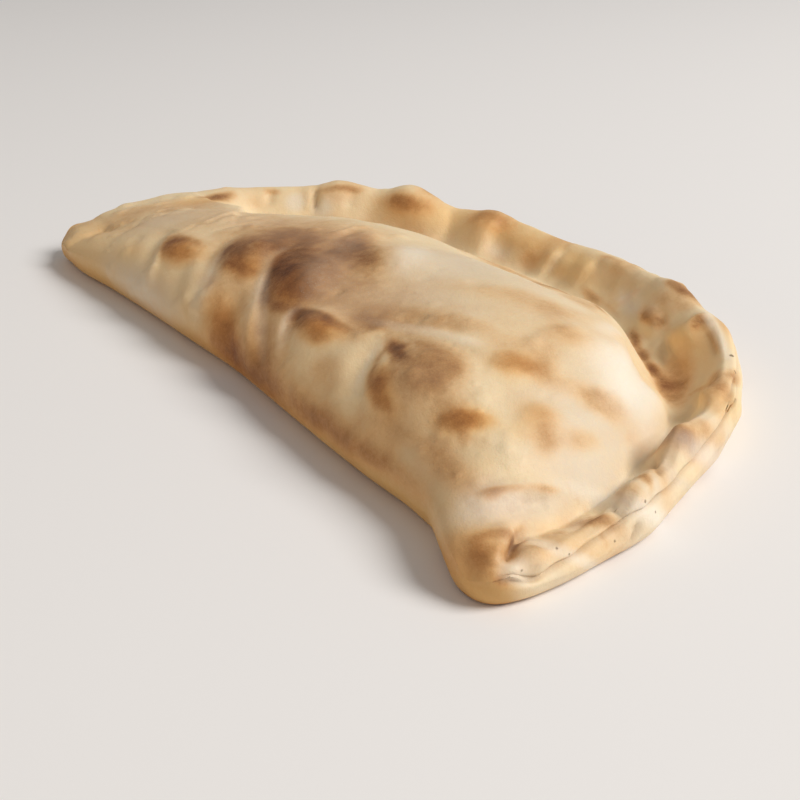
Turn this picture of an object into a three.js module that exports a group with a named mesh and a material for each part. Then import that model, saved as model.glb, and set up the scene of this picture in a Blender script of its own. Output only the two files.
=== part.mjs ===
// A baked calzone: a disc of dough folded in half over its filling, crimped and
// rolled shut along the curved edge. One closed solid, lying on its flat base.
// Millimetres, +Z up. X runs along the fold, Y from the fold to the crimped rim.
import * as THREE from 'three';

// ---- driving dimensions -----------------------------------------------------
const DISC_RADIUS = 152;        // folded dough disc, to the outside of the crimped rim
const BELLY_HEIGHT = 38;        // crown of the filled belly, where nothing pulls it down
const FOLD_HEIGHT = 10;         // height at which the rounded fold turns over
const FOLD_UNDERCUT = 7;        // how far the base is set in under the fold
const RIM_WIDTH = 5.5;          // outer wall of the rim, from its widest line to its crest
const SEAM_DEPTH = 1.5;         // groove between the two layers of dough
const CORNER_SHARPNESS = 26;    // how tightly the rim turns into the fold at the two tips
const BLEND = 2.2;              // rounding of the crease between belly and rim
const SPINE_REACH = 112;        // half length of the middle line that the mesh closes on
const SPINE_Y = 63;
const SPINE_STRAIGHT = 85;
const POINTS_ROUND = 132;       // mesh: points round the outline
const ROWS_TOP = 18;            // mesh: rows from the rim's crest to the middle line
const ORIGIN_X = 1.804;         // middle of the base in the construction frame
const ORIGIN_Y = 73.356;

// ---- scalar helpers -----------------------------------------------------------
const clamp = (x, a, b) => Math.min(b, Math.max(a, x));
const step = (a, b, x) => { const t = clamp((x - a) / (b - a), 0, 1); return t * t * (3 - 2 * t); };
const bell = (x, c, w) => Math.exp(-(((x - c) / w) ** 2));
const smoothMax = (a, b, k) => { const h = clamp(0.5 + 0.5 * (a - b) / k, 0, 1); return b + (a - b) * h + k * h * (1 - h); };

// A smooth curve through control values (x0, y0, x1, y1, ...), flat outside them.
function through(...pairs) {
  const xs = pairs.filter((_, i) => i % 2 === 0), ys = pairs.filter((_, i) => i % 2 === 1);
  const n = xs.length;
  const slope = ys.map((_, i) => {
    const a = Math.max(0, i - 1), b = Math.min(n - 1, i + 1);
    return (ys[b] - ys[a]) / (xs[b] - xs[a]);
  });
  return (x) => {
    x = clamp(x, xs[0], xs[n - 1]);
    let k = 0;
    while (k < n - 2 && x >= xs[k + 1]) k++;
    const h = xs[k + 1] - xs[k], v = (x - xs[k]) / h, v2 = v * v, v3 = v2 * v;
    return ys[k] * (2 * v3 - 3 * v2 + 1) + slope[k] * h * (v3 - 2 * v2 + v)
      + ys[k + 1] * (3 * v2 - 2 * v3) + slope[k + 1] * h * (v3 - v2);
  };
}
// Angle round the disc's centre, in degrees, from the front tip (0) over the rim to the rear tip (180).
const angleOf = (x, y) => { let a = Math.atan2(y, x) * 180 / Math.PI; if (a < -90) a += 360; return a; };

// ---- plan of the calzone --------------------------------------------------------
// The hand-folded disc is not quite round: change of radius against angle.
const radiusChange = through(-20, -3, 0, -.5, 6, 0, 12, -.3, 18, .8, 24, -.3, 30, .4, 36, 3.1, 46, 5, 54, 5.3, 64, 2.2,
  78, .6, 92, .6, 110, 1.8, 126, 2, 140, 1.8, 155, 1.2, 168, -1.2, 180, -5, 200, -7.5);
// The fold line wanders a little to either side of a diameter, and bulges at the front nose.
const foldLine = through(-160, -1, -145, -2.7, -120, -4.6, -95, -2, -60, .4, -30, 2, 0, 3.6, 40, 2.6, 80, 2, 105, 2.8,
  122, 1.4, 136, -5.5, 146, -6.2, 160, -5.5);

// The outline: the nearer of rim and fold in every direction, with rounded tips,
// cut at the tips into two runs of equally spaced points.
function outline(count) {
  const cy = 55, fine = 6000, ring = [];
  for (let i = 0; i < fine; i++) {
    const al = -Math.PI / 2 + 2 * Math.PI * i / fine, c = Math.cos(al), s = Math.sin(al);
    let radius = DISC_RADIUS, r = 0;
    for (let k = 0; k < 4; k++) {
      r = -cy * s + Math.sqrt(cy * cy * s * s - (cy * cy - radius * radius));
      radius = DISC_RADIUS + radiusChange(angleOf(r * c, cy + r * s));
    }
    let f = 200;
    for (let k = 0; k < 5; k++) f = s < -1e-3 ? (foldLine(Math.min(f, 400) * c) - cy) / s : 1e6;
    const p = CORNER_SHARPNESS, d = (r ** -p + clamp(f, 1, 1e5) ** -p) ** (-1 / p);
    ring.push([d * c, cy + d * s]);
  }
  const first = (score) => ring.reduce((best, q, i) => (score(q) > score(ring[best]) ? i : best), 0);
  const front = first(([x, y]) => x - 0.6 * y);
  const turned = ring.slice(front).concat(ring.slice(0, front));
  const rear = turned.reduce((best, [x, y], i) => (x + 0.6 * y < turned[best][0] + 0.6 * turned[best][1] ? i : best), 0);
  const spaced = (run, m) => {
    const len = [0];
    for (let i = 1; i < run.length; i++) len.push(len[i - 1] + Math.hypot(run[i][0] - run[i - 1][0], run[i][1] - run[i - 1][1]));
    const out = [];
    for (let i = 0, k = 0; i < m; i++) {
      const t = i / m * len[len.length - 1];
      while (k < len.length - 2 && len[k + 1] < t) k++;
      const u = (t - len[k]) / (len[k + 1] - len[k]);
      out.push([run[k][0] + (run[k + 1][0] - run[k][0]) * u, run[k][1] + (run[k + 1][1] - run[k][1]) * u]);
    }
    return out;
  };
  return spaced(turned.slice(0, rear + 1), count / 2).concat(spaced(turned.slice(rear).concat([turned[0]]), count / 2));
}

// ---- crimped rim ------------------------------------------------------------------
// Lobes pinched by the fingers: angle, rise, half width.
const LOBES = [[45.5, .4, 3], [56, 2, 3.8], [69, 2.7, 3.8], [78, .2, 3.8],
  [85.5, .5, 3.8], [93, .6, 3.8], [101, 1.4, 3.8], [108, 3, 3.8], [123.5, 3.9, 3.8], [134.5, 2.3, 3.8], [144, .3, 3.8],
  [153, .9, 3.8], [163, .2, 3.8], [172, .4, 3.8]];
// Pinches between them: angle, strength.
const PINCHES = [[10.7, 1], [24.6, 1], [42, .5], [50, .5], [62.5, .9], [74, .7], [82, .5], [89.5, .8], [97, .9],
  [104.5, .6], [115.5, 1], [129.5, .7], [140, .9], [149, .8], [158, .6], [167, .5]];
const crestBase = through(-20, 17.4, 44, 17.4, 50, 17.6, 60, 20.4, 76, 19.6, 90, 17.5, 97, 16.6, 115, 19.2, 129, 22.3,
  140, 22.3, 156, 20.5, 166, 18.6, 174, 14, 182, 10.5, 200, 10);
// The near part of the rim is a roll: low by the tip, then two lobes that start with a step.
const rollHeight = through(-20, 9, -5, 9.5, 0, 10.5, 4, 10.4, 6, 9.7, 8, 9.4, 10, 9.2, 12, 9.8, 14, 9.9, 15.3, 10.2, 16.6, 13,
  18, 14.7, 20, 14.4, 22, 13.4, 24, 12.7, 25.3, 12.7, 26.8, 16.4, 28.2, 18.1, 30, 17.9, 32, 17.3, 34, 16.6, 36, 15.7, 38, 15,
  39.6, 15, 41.2, 17, 44, 17.9, 48, 17.6);
const crestHeight = (th) => {
  const far = LOBES.reduce((z, [c, h, w]) => z + h * bell(th, c, w), crestBase(th)), k = step(43, 47, th);
  return rollHeight(th) * (1 - k) + far * k;
};
const lobeness = (th) => clamp(PINCHES.reduce((v, [c, k]) => v - k * bell(th, c, 2), 1), 0, 1);
const valleyHeight = through(-20, 9, 0, 9, 12, 7, 20, 7, 30, 7.5, 60, 7.5, 90, 7, 120, 7.5, 138, 8.5, 146, 10, 149, 12,
  152, 16.5, 155, 19.6, 160, 20, 165, 18.9, 170, 16.6, 180, 11.5, 200, 10);
const farSlope = through(40, 17, 60, 18, 90, 18.5, 120, 18, 150, 15, 180, 9);
const lipHeight = through(-20, 4.6, 0, 4.6, 14, 4.2, 24, 5, 36, 8.6, 46, 10.2, 60, 9.5, 90, 8, 180, 7, 200, 6);
const lipUndercut = through(-20, 4.2, 0, 4.2, 14, 4.2, 24, 4.4, 36, 6, 46, 7, 60, 7, 90, 6.5, 180, 5.5, 200, 5);
// Height of the seam between the two layers: its own along the roll, a share of the crest's height further back.
const seamNear = through(-20, 6, -4, 6.5, 0, 6.8, 2, 6.5, 4, 6.4, 6, 6.9, 8, 7.2, 10, 7.9, 12, 8.1, 14, 8.8, 16, 9.9, 18, 10.1,
  20, 10, 22, 9.2, 24, 8.7, 26, 9.4, 28, 10, 30, 10.5, 32, 11.1, 34, 12.2, 36, 13.1, 38, 13.7, 40, 13.9, 42, 14.1, 60, 16);
const seamShare = through(-20, .8, 42, .8, 50, .86, 60, .82, 100, .7, 150, .66, 180, .6, 200, .6);
const seamHeight = (th, crest) => {
  const k = step(40, 46, th);
  return Math.min(seamNear(th) * (1 - k) + seamShare(th) * crest * k, crest - .6);
};

// ---- filled belly -------------------------------------------------------------------
const crown = through(-150, 24, -120, 31, -90, 35, -60, 36.8, -30, 38.6, 0, BELLY_HEIGHT, 30, 37.2, 60, 37, 85, 36.6,
  105, 34.6, 125, 30.5, 150, 22);
const foldTurn = through(-150, 8, -120, 9, -60, FOLD_HEIGHT, 0, FOLD_HEIGHT, 60, FOLD_HEIGHT, 110, FOLD_HEIGHT, 135, 9, 150, 8);
const foldReach = through(-150, 66, -100, 92, 0, 102, 80, 94, 150, 54);
const footInset = through(-20, 11, 0, 11, 15, 13, 30, 15.2, 45, 19.3, 50, 22.3, 55, 24.8, 60, 25.6, 65, 24.6, 75, 23.2, 90, 23,
  110, 23, 130, 22, 150, 19, 170, 14, 200, 10);
const rimReach = through(-20, 52, 0, 57, 15, 68, 30, 78, 45, 86, 60, 100, 75, 116, 95, 128, 120, 128, 150, 112, 180, 82, 200, 68);
const rimFullness = through(-20, 1.5, 20, 1.65, 45, 1.75, 60, 1.45, 75, 1.15, 95, 1, 120, 1, 150, 1, 180, 1.1, 200, 1.1);
// At the rear the belly runs down to the rim without a valley: height there, and slope away from the rim.
const shoulderHeight = through(-20, 20, 146, 20, 150, 19.8, 153, 20.4, 158.6, 19.5, 164.5, 19, 170, 17.2, 176, 13.2, 182, 10.4, 200, 10);
const shoulderSlope = through(-20, .13, 146, .13, 153, .13, 158, .125, 164, .1, 170, .08, 176, .05, 200, .04);
const shoulderEnd = through(-20, 38, 147, 38, 153, 34, 155, 26, 157, 14, 160, 0, 200, 0);
// The outline bulges a little past the fold line by the front nose.
const foldBulge = through(-160, 0, 60, 0, 100, 0, 110, 0, 113, .1, 115, .35, 118, 1, 121, 1.55, 124, 1.75, 127, 1.5, 130, .9, 133, .3, 136, 0, 160, 0);
const foldInset = through(-150, 5, -125, FOLD_UNDERCUT, 98, FOLD_UNDERCUT, 116, 5, 128, 3.6, 150, 4.2);

// Height of the upper surface over the plan.
function topHeight(x, y) {
  const angle = angleOf(x, y), th = clamp(angle, -20, 200);
  const fromRim = DISC_RADIUS + radiusChange(angle) - Math.hypot(x, y);
  const fromFold = y - foldLine(x) + foldBulge(x);
  // belly: full towards the fold, falling more gently towards the rim
  const f = (1 - (1 - clamp(fromFold / foldReach(x), 0, 1)) ** 3) ** (1 / 1.85);
  const inset = footInset(th);
  const g = (1 - (1 - clamp((fromRim - inset) / rimReach(th), 0, 1)) ** 3) ** (1 / rimFullness(th));
  const low = 5.5 + (foldTurn(x) - 5.5) * (1 - step(5, 45, fromFold));
  const belly = low + (crown(x) - low) * f * g - clamp(inset - fromRim, 0, 30) * 1.2;
  // rim: crest, inner face and the valley at the belly's foot
  const lobe = lobeness(th), near = 1 - step(42, 62, th);
  const width = (9 - 2 * (1 - lobe)) * near + farSlope(th) * (1 - near);
  const t = clamp((fromRim - RIM_WIDTH) / width, 0, 1.6);
  const valley = valleyHeight(th);
  let rim = valley + (crestHeight(th) - valley) * (1 - step(0, 1, t))
    - (1 - near) * (1 - lobe) * 1.3 * bell(t, .55, .35) - clamp(t - 1, 0, 1) * 2;
  const present = step(-8, 8, fromFold);
  rim = rim * present - 5 * (1 - present);
  // closed noses at the two tips
  const edge = clamp(-smoothMax(-fromFold, -fromRim, 5) / 11, 0, 1);
  let round = Math.sqrt(clamp(1 - (1 - edge) ** 2, 0, 1));
  round += (1 - round) * .62 * step(5, 16, fromRim);
  const frontNose = step(100, 124, x) * (1 - step(6, 32, y)), rearNose = step(-112, -130, x) * (1 - step(12, 28, y));
  const nose = (15 * frontNose + 13 * rearNose) * round - 8 * (1 - Math.max(frontNose, rearNose));
  const shoulder = shoulderHeight(th) + shoulderSlope(th) * (fromRim - 8) - 10 * (1 - step(-14, 6, fromRim - shoulderEnd(th)))
    - 22 * (1 - step(144.5, 150.5, th)) - 25 * (1 - step(2, 20, fromFold)) - .5 * clamp(fromRim - 80, 0, 60);
  return smoothMax(smoothMax(smoothMax(belly, rim, BLEND), shoulder, 4), nose, 4);
}

// ---- blisters, furrows and wrinkles ---------------------------------------------------
// Blisters and swellings: centre, radii, turn, height.
const BLISTERS = [[4, 29, 28, 15, 11, -20, 2.6], [-28, 27, 28, 13, 10, -10, 2], [-60, 15, 24, 11, 8, 0, 1.7],
  [35, 17, 26, 10, 7, -10, 1.5], [15, 58, 36, 15, 12, 20, 1.7], [-13, 62, 34.5, 6, 4, 0, 1], [86, 22, 28, 17, 13, 15, 2.6],
  [105, 22, 25, 9, 7, 20, .9], [115, 38, 24, 9, 6, 30, .8], [121, 26, 20, 8, 7, 10, 1.1], [98, 45, 30, 10, 7, 30, .9],
  [90, 68, 31, 15, 9, 35, 1.3], [66, 46, 35.5, 17, 8, 25, .8], [105, 62, 24, 9, 7, 40, .8], [-95, 32, 24, 16, 9, 10, 1],
  [-120, 26, 17, 13, 8, 10, .9], [-50, 50, 33, 18, 10, 10, -.9], [40, 80, 33, 20, 10, 0, .8], [-5, 88, 28, 18, 9, 0, -.8],
  [-60, 80, 24, 16, 10, -30, .8], [-76, 119, 20, 10, 9, 30, 2.6], [-48, 131, 15, 10, 8, 20, 1.5], [-103, 98, 19, 9, 7, 45, 1],
  [0, 140, 14, 8, 7, 0, 1], [28, 136, 14, 8, 7, -10, -.8], [58, 130, 16, 9, 7, -25, 1], [90, 116, 15, 9, 7, -40, -1],
  [76, 122, 15, 8, 7, -30, .8], [112, 99, 16, 8, 7, -50, .7], [-25, 140, 14, 7, 6, 5, -.8],
  [18, 99, 24, 26, 12, -5, -2.4], [90, 97, 16, 20, 12, -40, -5], [-3, 108, 18.5, 21, 14, 0, -2.6],
  [56, 104, 17.5, 16, 12, -25, 2.2]];
// Furrows (negative) and wrinkles: the points of a line over the dough, half width, height.
const FURROWS = [
  [[[-20.4, 37.9, 33.4], [-16, 26.8, 30.8], [-5, 17.2, 26.7], [9.5, 9.8, 21.6], [21.9, 5.4, 16.8], [30.4, 3.2, 12.3]], 4.2, -1.9],
  [[[24.4, 19.1, 28], [23, 14.2, 25.3], [28.1, 8.2, 20.7], [37.5, 4.2, 15.5]], 3.6, -1.2],
  [[[62.5, 24.9, 30.7], [60.9, 17.4, 27.5], [67.9, 9.9, 22.9], [76, 3.8, 16.1], [82, 2, 10.3]], 4.5, -1.6],
  [[[-43.4, 27, 30.9], [-41.3, 18.5, 28.1], [-31.4, 10.6, 23.5], [-23.9, 4.6, 16.7]], 4.2, -1.4],
  [[[-78.7, 17.1, 26.2], [-72.5, 10, 23.6], [-65.3, 4.7, 19.5]], 4.2, -1],
  [[[-108, 20, 20], [-104, 9, 17], [-98, 3, 12]], 5, -.9],
  [[[60.4, 22.5, 29.8], [60.8, 28.8, 32], [72.4, 34.1, 33.2], [85.1, 38.4, 32.8], [95, 42, 31]], 2.6, .9],
  [[[-29.7, 73.4, 31.7], [-13, 63, 34.6], [.1, 61.8, 35.3]], 2.4, .8],
  [[[129.8, 9.5, 16.4], [129.2, 15.1, 16.9], [129.5, 22, 15.7], [131, 29.5, 11.7]], 3, .9],
  [[[133.8, 14, 14.1], [133.7, 22.9, 12.4], [132.2, 30.7, 10.9]], 3, -1.1],
  [[[142.8, 11.5, 14.4], [143.8, 9.2, 14.4], [146.5, 4.4, 12.8], [149, .3, 10]], 1.7, -2.4],
  [[[122.6, 9.6, 18.2], [124.1, 3.7, 14.7], [127.6, .1, 12.1]], 5, -1],
];
function relief(p) {
  let h = 0;
  for (const [x, y, z, a, b, deg, rise] of BLISTERS) {
    const c = Math.cos(deg * Math.PI / 180), s = Math.sin(deg * Math.PI / 180), dx = p.x - x, dy = p.y - y;
    const u = (dx * c + dy * s) / a, v = (dy * c - dx * s) / b, w = (p.z - z) / 9;
    h += rise * Math.exp(-((u * u + v * v + w * w) ** 1.25));
  }
  const a = new THREE.Vector3(), b = new THREE.Vector3(), near = new THREE.Vector3(), line = new THREE.Line3();
  for (const [points, r, rise] of FURROWS) {
    let d2 = 1e9;
    for (let i = 1; i < points.length; i++) {
      line.set(a.fromArray(points[i - 1]), b.fromArray(points[i]));
      d2 = Math.min(d2, line.closestPointToPoint(p, true, near).distanceToSquared(p));
    }
    h += rise * Math.exp(-d2 / (r * r));
  }
  return h * step(1.5, 5, p.z);
}

// ---- middle line that the mesh closes on: a low arch whose ends point at the tips ------
function middle(v, front, rear) {
  const x = SPINE_REACH * (.5 * Math.cos(Math.PI * v) + .5 * (1 - 2 * v)), ax = Math.abs(x), x1 = SPINE_STRAIGHT;
  const [tx, ty] = x > 0 ? front : [-rear[0], rear[1]];
  const a = (SPINE_Y - ty) / (x1 * x1 + 2 * x1 * (tx - x1));
  return [x, ax < x1 ? SPINE_Y - a * ax * ax : SPINE_Y - a * x1 * x1 - 2 * a * x1 * (ax - x1)];
}
const smoothed = (values, reach) => values.map((_, i) => {
  const n = values.length; let sum = 0, weight = 0;
  for (let k = -reach; k <= reach; k++) {
    const w = .5 + .5 * Math.cos(Math.PI * k / reach);
    if (w > 0) { sum += w * values[(i + k + n) % n]; weight += w; }
  }
  return sum / weight;
});

// Rim section as (inset, height) pairs, from the base up over the lip and the seam to the crest.
// The curve passes through eight control points; the rows fall on them and between them.
const SECTION_ROWS = [.5, 1, 2, 2.5, 3, 4, 5, 5.5, 6, 7];
function rimSection(ctrl, u, t) {
  const k = Math.min(Math.floor(t), ctrl.length - 2), v = t - k, h = u[k + 1] - u[k], v2 = v * v, v3 = v2 * v;
  const slope = (i, c) => { const a = Math.max(0, i - 1), b = Math.min(ctrl.length - 1, i + 1); return (ctrl[b][c] - ctrl[a][c]) / (u[b] - u[a]); };
  return [0, 1].map((c) => ctrl[k][c] * (2 * v3 - 3 * v2 + 1) + slope(k, c) * h * (v3 - 2 * v2 + v)
    + ctrl[k + 1][c] * (3 * v2 - 2 * v3) + slope(k + 1, c) * h * (v3 - v2));
}

function calzoneGeometry() {
  const n = POINTS_ROUND, half = n / 2, edge = outline(n), front = edge[0], rear = edge[half];
  const raw = edge.map((_, i) => {
    const a = edge[(i + n - 1) % n], b = edge[(i + 1) % n], l = Math.hypot(b[0] - a[0], b[1] - a[1]);
    return [-(b[1] - a[1]) / l, (b[0] - a[0]) / l];
  });
  const inX = smoothed(raw.map((q) => q[0]), 1), inY = smoothed(raw.map((q) => q[1]), 1);
  const rows = SECTION_ROWS.length, columns = [];
  for (let i = 0; i < n; i++) {
    const [ox, oy] = edge[i], th = clamp(angleOf(ox, oy), -20, 200), fromFold = oy - foldLine(ox);
    const rimShare = ox > 0 ? step(3, 14, fromFold) : step(3, 36, fromFold);
    const [sx, sy] = middle(Math.min(i, n - i) / half, front, rear);
    // direction inwards: square to the outline, turning towards the middle line at the tips
    const rl = Math.hypot(sx - ox, sy - oy), tip = Math.min(Math.hypot(ox - front[0], oy - front[1]), Math.hypot(ox - rear[0], oy - rear[1]));
    const m = 1 - step(3, 24, tip), nl = Math.hypot(inX[i], inY[i]);
    let nx = inX[i] / nl * (1 - m) + (sx - ox) / rl * m, ny = inY[i] / nl * (1 - m) + (sy - oy) / rl * m;
    const l = Math.hypot(nx, ny); nx /= l; ny /= l;
    const crestX = ox + nx * RIM_WIDTH, crestY = oy + ny * RIM_WIDTH, crest = topHeight(crestX, crestY);
    const lip = lipHeight(th), under = lipUndercut(th), seam = seamHeight(th, crest);
    const ctrl = [[under, 0], [.34 * under, .26 * lip], [0, lip], [.3, .5 * lip + .5 * seam], [1.5, seam],
      [2.3, seam + .35 * (crest - seam)], [3.3, seam + .78 * (crest - seam)], [RIM_WIDTH, crest]];
    const u = [0];
    for (let k = 1; k < ctrl.length; k++) u.push(u[k - 1] + Math.hypot(ctrl[k][0] - ctrl[k - 1][0], ctrl[k][1] - ctrl[k - 1][1]));
    const foldTop = topHeight(ox, oy), foldUnder = foldInset(ox);
    const column = [];
    const base = under * rimShare + foldUnder * (1 - rimShare);
    column.push([ox + nx * base, oy + ny * base, 0]);
    for (let k = 0; k < rows; k++) {
      const [s1, z1] = rimSection(ctrl, u, SECTION_ROWS[k]);
      const groove = SEAM_DEPTH * Math.exp(-((z1 - seam) ** 2));
      let s2, z2;
      if (k < rows / 2) {                       // quarter ellipse under the fold
        const q = (k + 1) / (rows / 2) * Math.PI / 2;
        s2 = foldUnder * (1 - Math.sin(q)); z2 = foldTop * (1 - Math.cos(q));
      } else {                                  // then the belly itself
        s2 = ((k + 1 - rows / 2) / (rows / 2)) ** 1.8 * RIM_WIDTH; z2 = topHeight(ox + nx * s2, oy + ny * s2);
      }
      const s = s2 * (1 - rimShare) + (s1 + groove) * rimShare;
      column.push([ox + nx * s, oy + ny * s, z2 * (1 - rimShare) + z1 * rimShare]);
    }
    for (let k = 1; k <= ROWS_TOP; k++) {
      const w = (k / ROWS_TOP) ** 1.15, x = crestX * (1 - w) + sx * w, y = crestY * (1 - w) + sy * w;
      column.push([x, y, topHeight(x, y)]);
    }
    columns.push(column);
  }
  // vertices: the columns without their last point, then one point per pair of columns
  // for the middle line on top, and one for the middle line of the base
  const height = rows + ROWS_TOP, positions = [], at = (i, k) => (k < height ? i * height + k : n * height + Math.min(i, n - i));
  columns.forEach((column) => column.slice(0, height).forEach((q) => positions.push(...q)));
  for (let i = 0; i <= half; i++) positions.push(...columns[i][height]);
  const under = (i) => n * height + half + 1 + Math.min(i, n - i);
  for (let i = 0; i <= half; i++) positions.push(...middle(i / half, front, rear), 0);
  const index = [], quad = (a, b, c, d) => {
    const tri = (p, q, r) => { if (p !== q && q !== r && r !== p) index.push(p, q, r); };
    tri(a, b, c); tri(a, c, d);
  };
  for (let i = 0; i < n; i++) {
    const j = (i + 1) % n;
    quad(under(i), under(j), at(j, 0), at(i, 0));
    for (let k = 0; k < height; k++) quad(at(i, k), at(j, k), at(j, k + 1), at(i, k + 1));
  }
  const geometry = new THREE.BufferGeometry();
  geometry.setAttribute('position', new THREE.Float32BufferAttribute(positions, 3));
  geometry.setIndex(index);
  geometry.computeVertexNormals();
  // raise the blisters and press in the furrows, square to the surface
  const pos = geometry.attributes.position, nor = geometry.attributes.normal;
  const p = new THREE.Vector3(), d = new THREE.Vector3();
  for (let i = 0; i < pos.count; i++) {
    p.fromBufferAttribute(pos, i); d.fromBufferAttribute(nor, i);
    p.addScaledVector(d, relief(p));
    pos.setXYZ(i, p.x - ORIGIN_X, p.y - ORIGIN_Y, p.z);
  }
  geometry.computeVertexNormals();
  return geometry;
}

const dough = new THREE.MeshStandardMaterial({ color: 0xdcb98a, roughness: 0.72, metalness: 0 });
const calzone = new THREE.Mesh(calzoneGeometry(), dough);
calzone.name = 'calzone';

const part = new THREE.Group();
part.name = 'calzone_part';
part.add(calzone);
export default part;
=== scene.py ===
# The looks of a baked calzone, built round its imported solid. Metres, +Z up.
import math

import bpy
import numpy as np
from mathutils import Matrix, Vector


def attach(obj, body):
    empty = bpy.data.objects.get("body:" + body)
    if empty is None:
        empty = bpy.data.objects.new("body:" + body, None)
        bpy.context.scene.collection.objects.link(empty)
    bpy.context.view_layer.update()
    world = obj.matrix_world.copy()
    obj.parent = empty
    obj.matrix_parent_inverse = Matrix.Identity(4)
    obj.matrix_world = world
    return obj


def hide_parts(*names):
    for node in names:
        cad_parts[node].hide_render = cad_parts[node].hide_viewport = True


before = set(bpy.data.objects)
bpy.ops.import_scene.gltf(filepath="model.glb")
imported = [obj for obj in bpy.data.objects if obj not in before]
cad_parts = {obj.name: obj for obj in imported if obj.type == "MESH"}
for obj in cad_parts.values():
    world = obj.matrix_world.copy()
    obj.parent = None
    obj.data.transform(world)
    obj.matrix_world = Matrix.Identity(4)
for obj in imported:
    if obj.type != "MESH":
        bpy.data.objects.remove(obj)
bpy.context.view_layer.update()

# ---------------------------------------------------------------------------
# Shape. Construction frame in mm: X along the fold, Y from the fold to the
# crimped rim, Z up. ORIGIN is the middle of the base in that frame.
# ---------------------------------------------------------------------------
ORIGIN = np.array([1.804, 73.356, 0.0])
DISC_RADIUS = 152.0
RIM_WIDTH = 5.5
N_ROUND, N_BASE, N_WALL, N_TOP = 680, 8, 46, 91      # about 197,000 triangles


def step(a, b, x):
    t = np.clip((x - a) / (b - a), 0, 1)
    return t * t * (3 - 2 * t)


def bell(x, c, w):
    return np.exp(-((x - c) / w) ** 2)


def through(x, xs, ys):
    """smooth curve through control points"""
    xs = np.asarray(xs, float)
    ys = np.asarray(ys, float)
    m = np.empty_like(ys)
    m[1:-1] = (ys[2:] - ys[:-2]) / (xs[2:] - xs[:-2])
    m[0] = (ys[1] - ys[0]) / (xs[1] - xs[0])
    m[-1] = (ys[-1] - ys[-2]) / (xs[-1] - xs[-2])
    x = np.clip(x, xs[0], xs[-1])
    k = np.clip(np.searchsorted(xs, x, side="right") - 1, 0, len(xs) - 2)
    h = xs[k + 1] - xs[k]
    v = (x - xs[k]) / h
    return (ys[k] * (2 * v**3 - 3 * v**2 + 1) + m[k] * h * (v**3 - 2 * v**2 + v)
            + ys[k + 1] * (3 * v**2 - 2 * v**3) + m[k + 1] * h * (v**3 - v**2))


def smooth_max(a, b, k):
    h = np.clip(0.5 + 0.5 * (a - b) / k, 0, 1)
    return b + (a - b) * h + k * h * (1 - h)


def radius_change(th):
    return through(th, [-20, 0, 6, 12, 18, 24, 30, 36, 46, 54, 64, 78, 92, 110, 126, 140, 155, 168, 180, 200],
                   [-3, -.5, 0, -.3, .8, -.3, .4, 3.1, 5.0, 5.3, 2.2, .6, .6, 1.8, 2.0, 1.8, 1.2, -1.2, -5, -7.5])


def fold_line(x):
    return through(x, [-160, -145, -120, -95, -60, -30, 0, 40, 80, 105, 122, 136, 146, 160],
                   [-1, -2.7, -4.6, -2.0, .4, 2.0, 3.6, 2.6, 2.0, 2.8, 1.4, -5.5, -6.2, -5.5])


def angle_of(x, y):
    th = np.degrees(np.arctan2(y, x))
    return np.where(th < -90, th + 360, th)


def outline(n):
    """the rim and the fold line, rounded into each other at the tips, each in n/2 equal steps"""
    cy = 55.0
    al = np.linspace(-np.pi / 2, 3 * np.pi / 2, 6001)[:-1]
    c, s = np.cos(al), np.sin(al)
    ra = np.full_like(al, DISC_RADIUS)
    for _ in range(4):
        r = -cy * s + np.sqrt((cy * s) ** 2 - (cy * cy - ra**2))
        ra = DISC_RADIUS + radius_change(angle_of(r * c, cy + r * s))
    f = np.full_like(al, 200.0)
    for _ in range(5):
        f = np.where(s < -1e-3, (fold_line(np.minimum(f, 400.0) * c) - cy) / np.minimum(s, -1e-3), 1e6)
    p = 26.0
    d = (r**-p + np.clip(f, 1, 1e5) ** -p) ** (-1 / p)
    ring = np.c_[d * c, cy + d * s]
    ring = np.roll(ring, -np.argmax(ring[:, 0] - 0.6 * ring[:, 1]), axis=0)
    rear = np.argmin(ring[:, 0] + 0.6 * ring[:, 1])

    def spaced(run, m):
        length = np.r_[0, np.cumsum(np.hypot(*np.diff(run, axis=0).T))]
        t = np.arange(m) / m * length[-1]
        return np.c_[np.interp(t, length, run[:, 0]), np.interp(t, length, run[:, 1])]

    return np.vstack([spaced(ring[:rear + 1], n // 2), spaced(np.vstack([ring[rear:], ring[:1]]), n // 2)])


# lobes pinched into the rim: angle, rise, half width; and the pinches between them: angle, strength
LOBES = [(45.5, .4, 3), (56, 2.0, 3.8), (69, 2.7, 3.8), (78, .2, 3.8),
         (85.5, .5, 3.8), (93, .6, 3.8), (101, 1.4, 3.8), (108, 3.0, 3.8), (123.5, 3.9, 3.8), (134.5, 2.3, 3.8),
         (144, .3, 3.8), (153, .9, 3.8), (163, .2, 3.8), (172, .4, 3.8)]
PINCHES = [(10.7, 1), (24.6, 1), (42, .5), (50, .5), (62.5, .9), (74, .7), (82, .5), (89.5, .8), (97, .9),
           (104.5, .6), (115.5, 1), (129.5, .7), (140, .9), (149, .8), (158, .6), (167, .5)]


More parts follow.
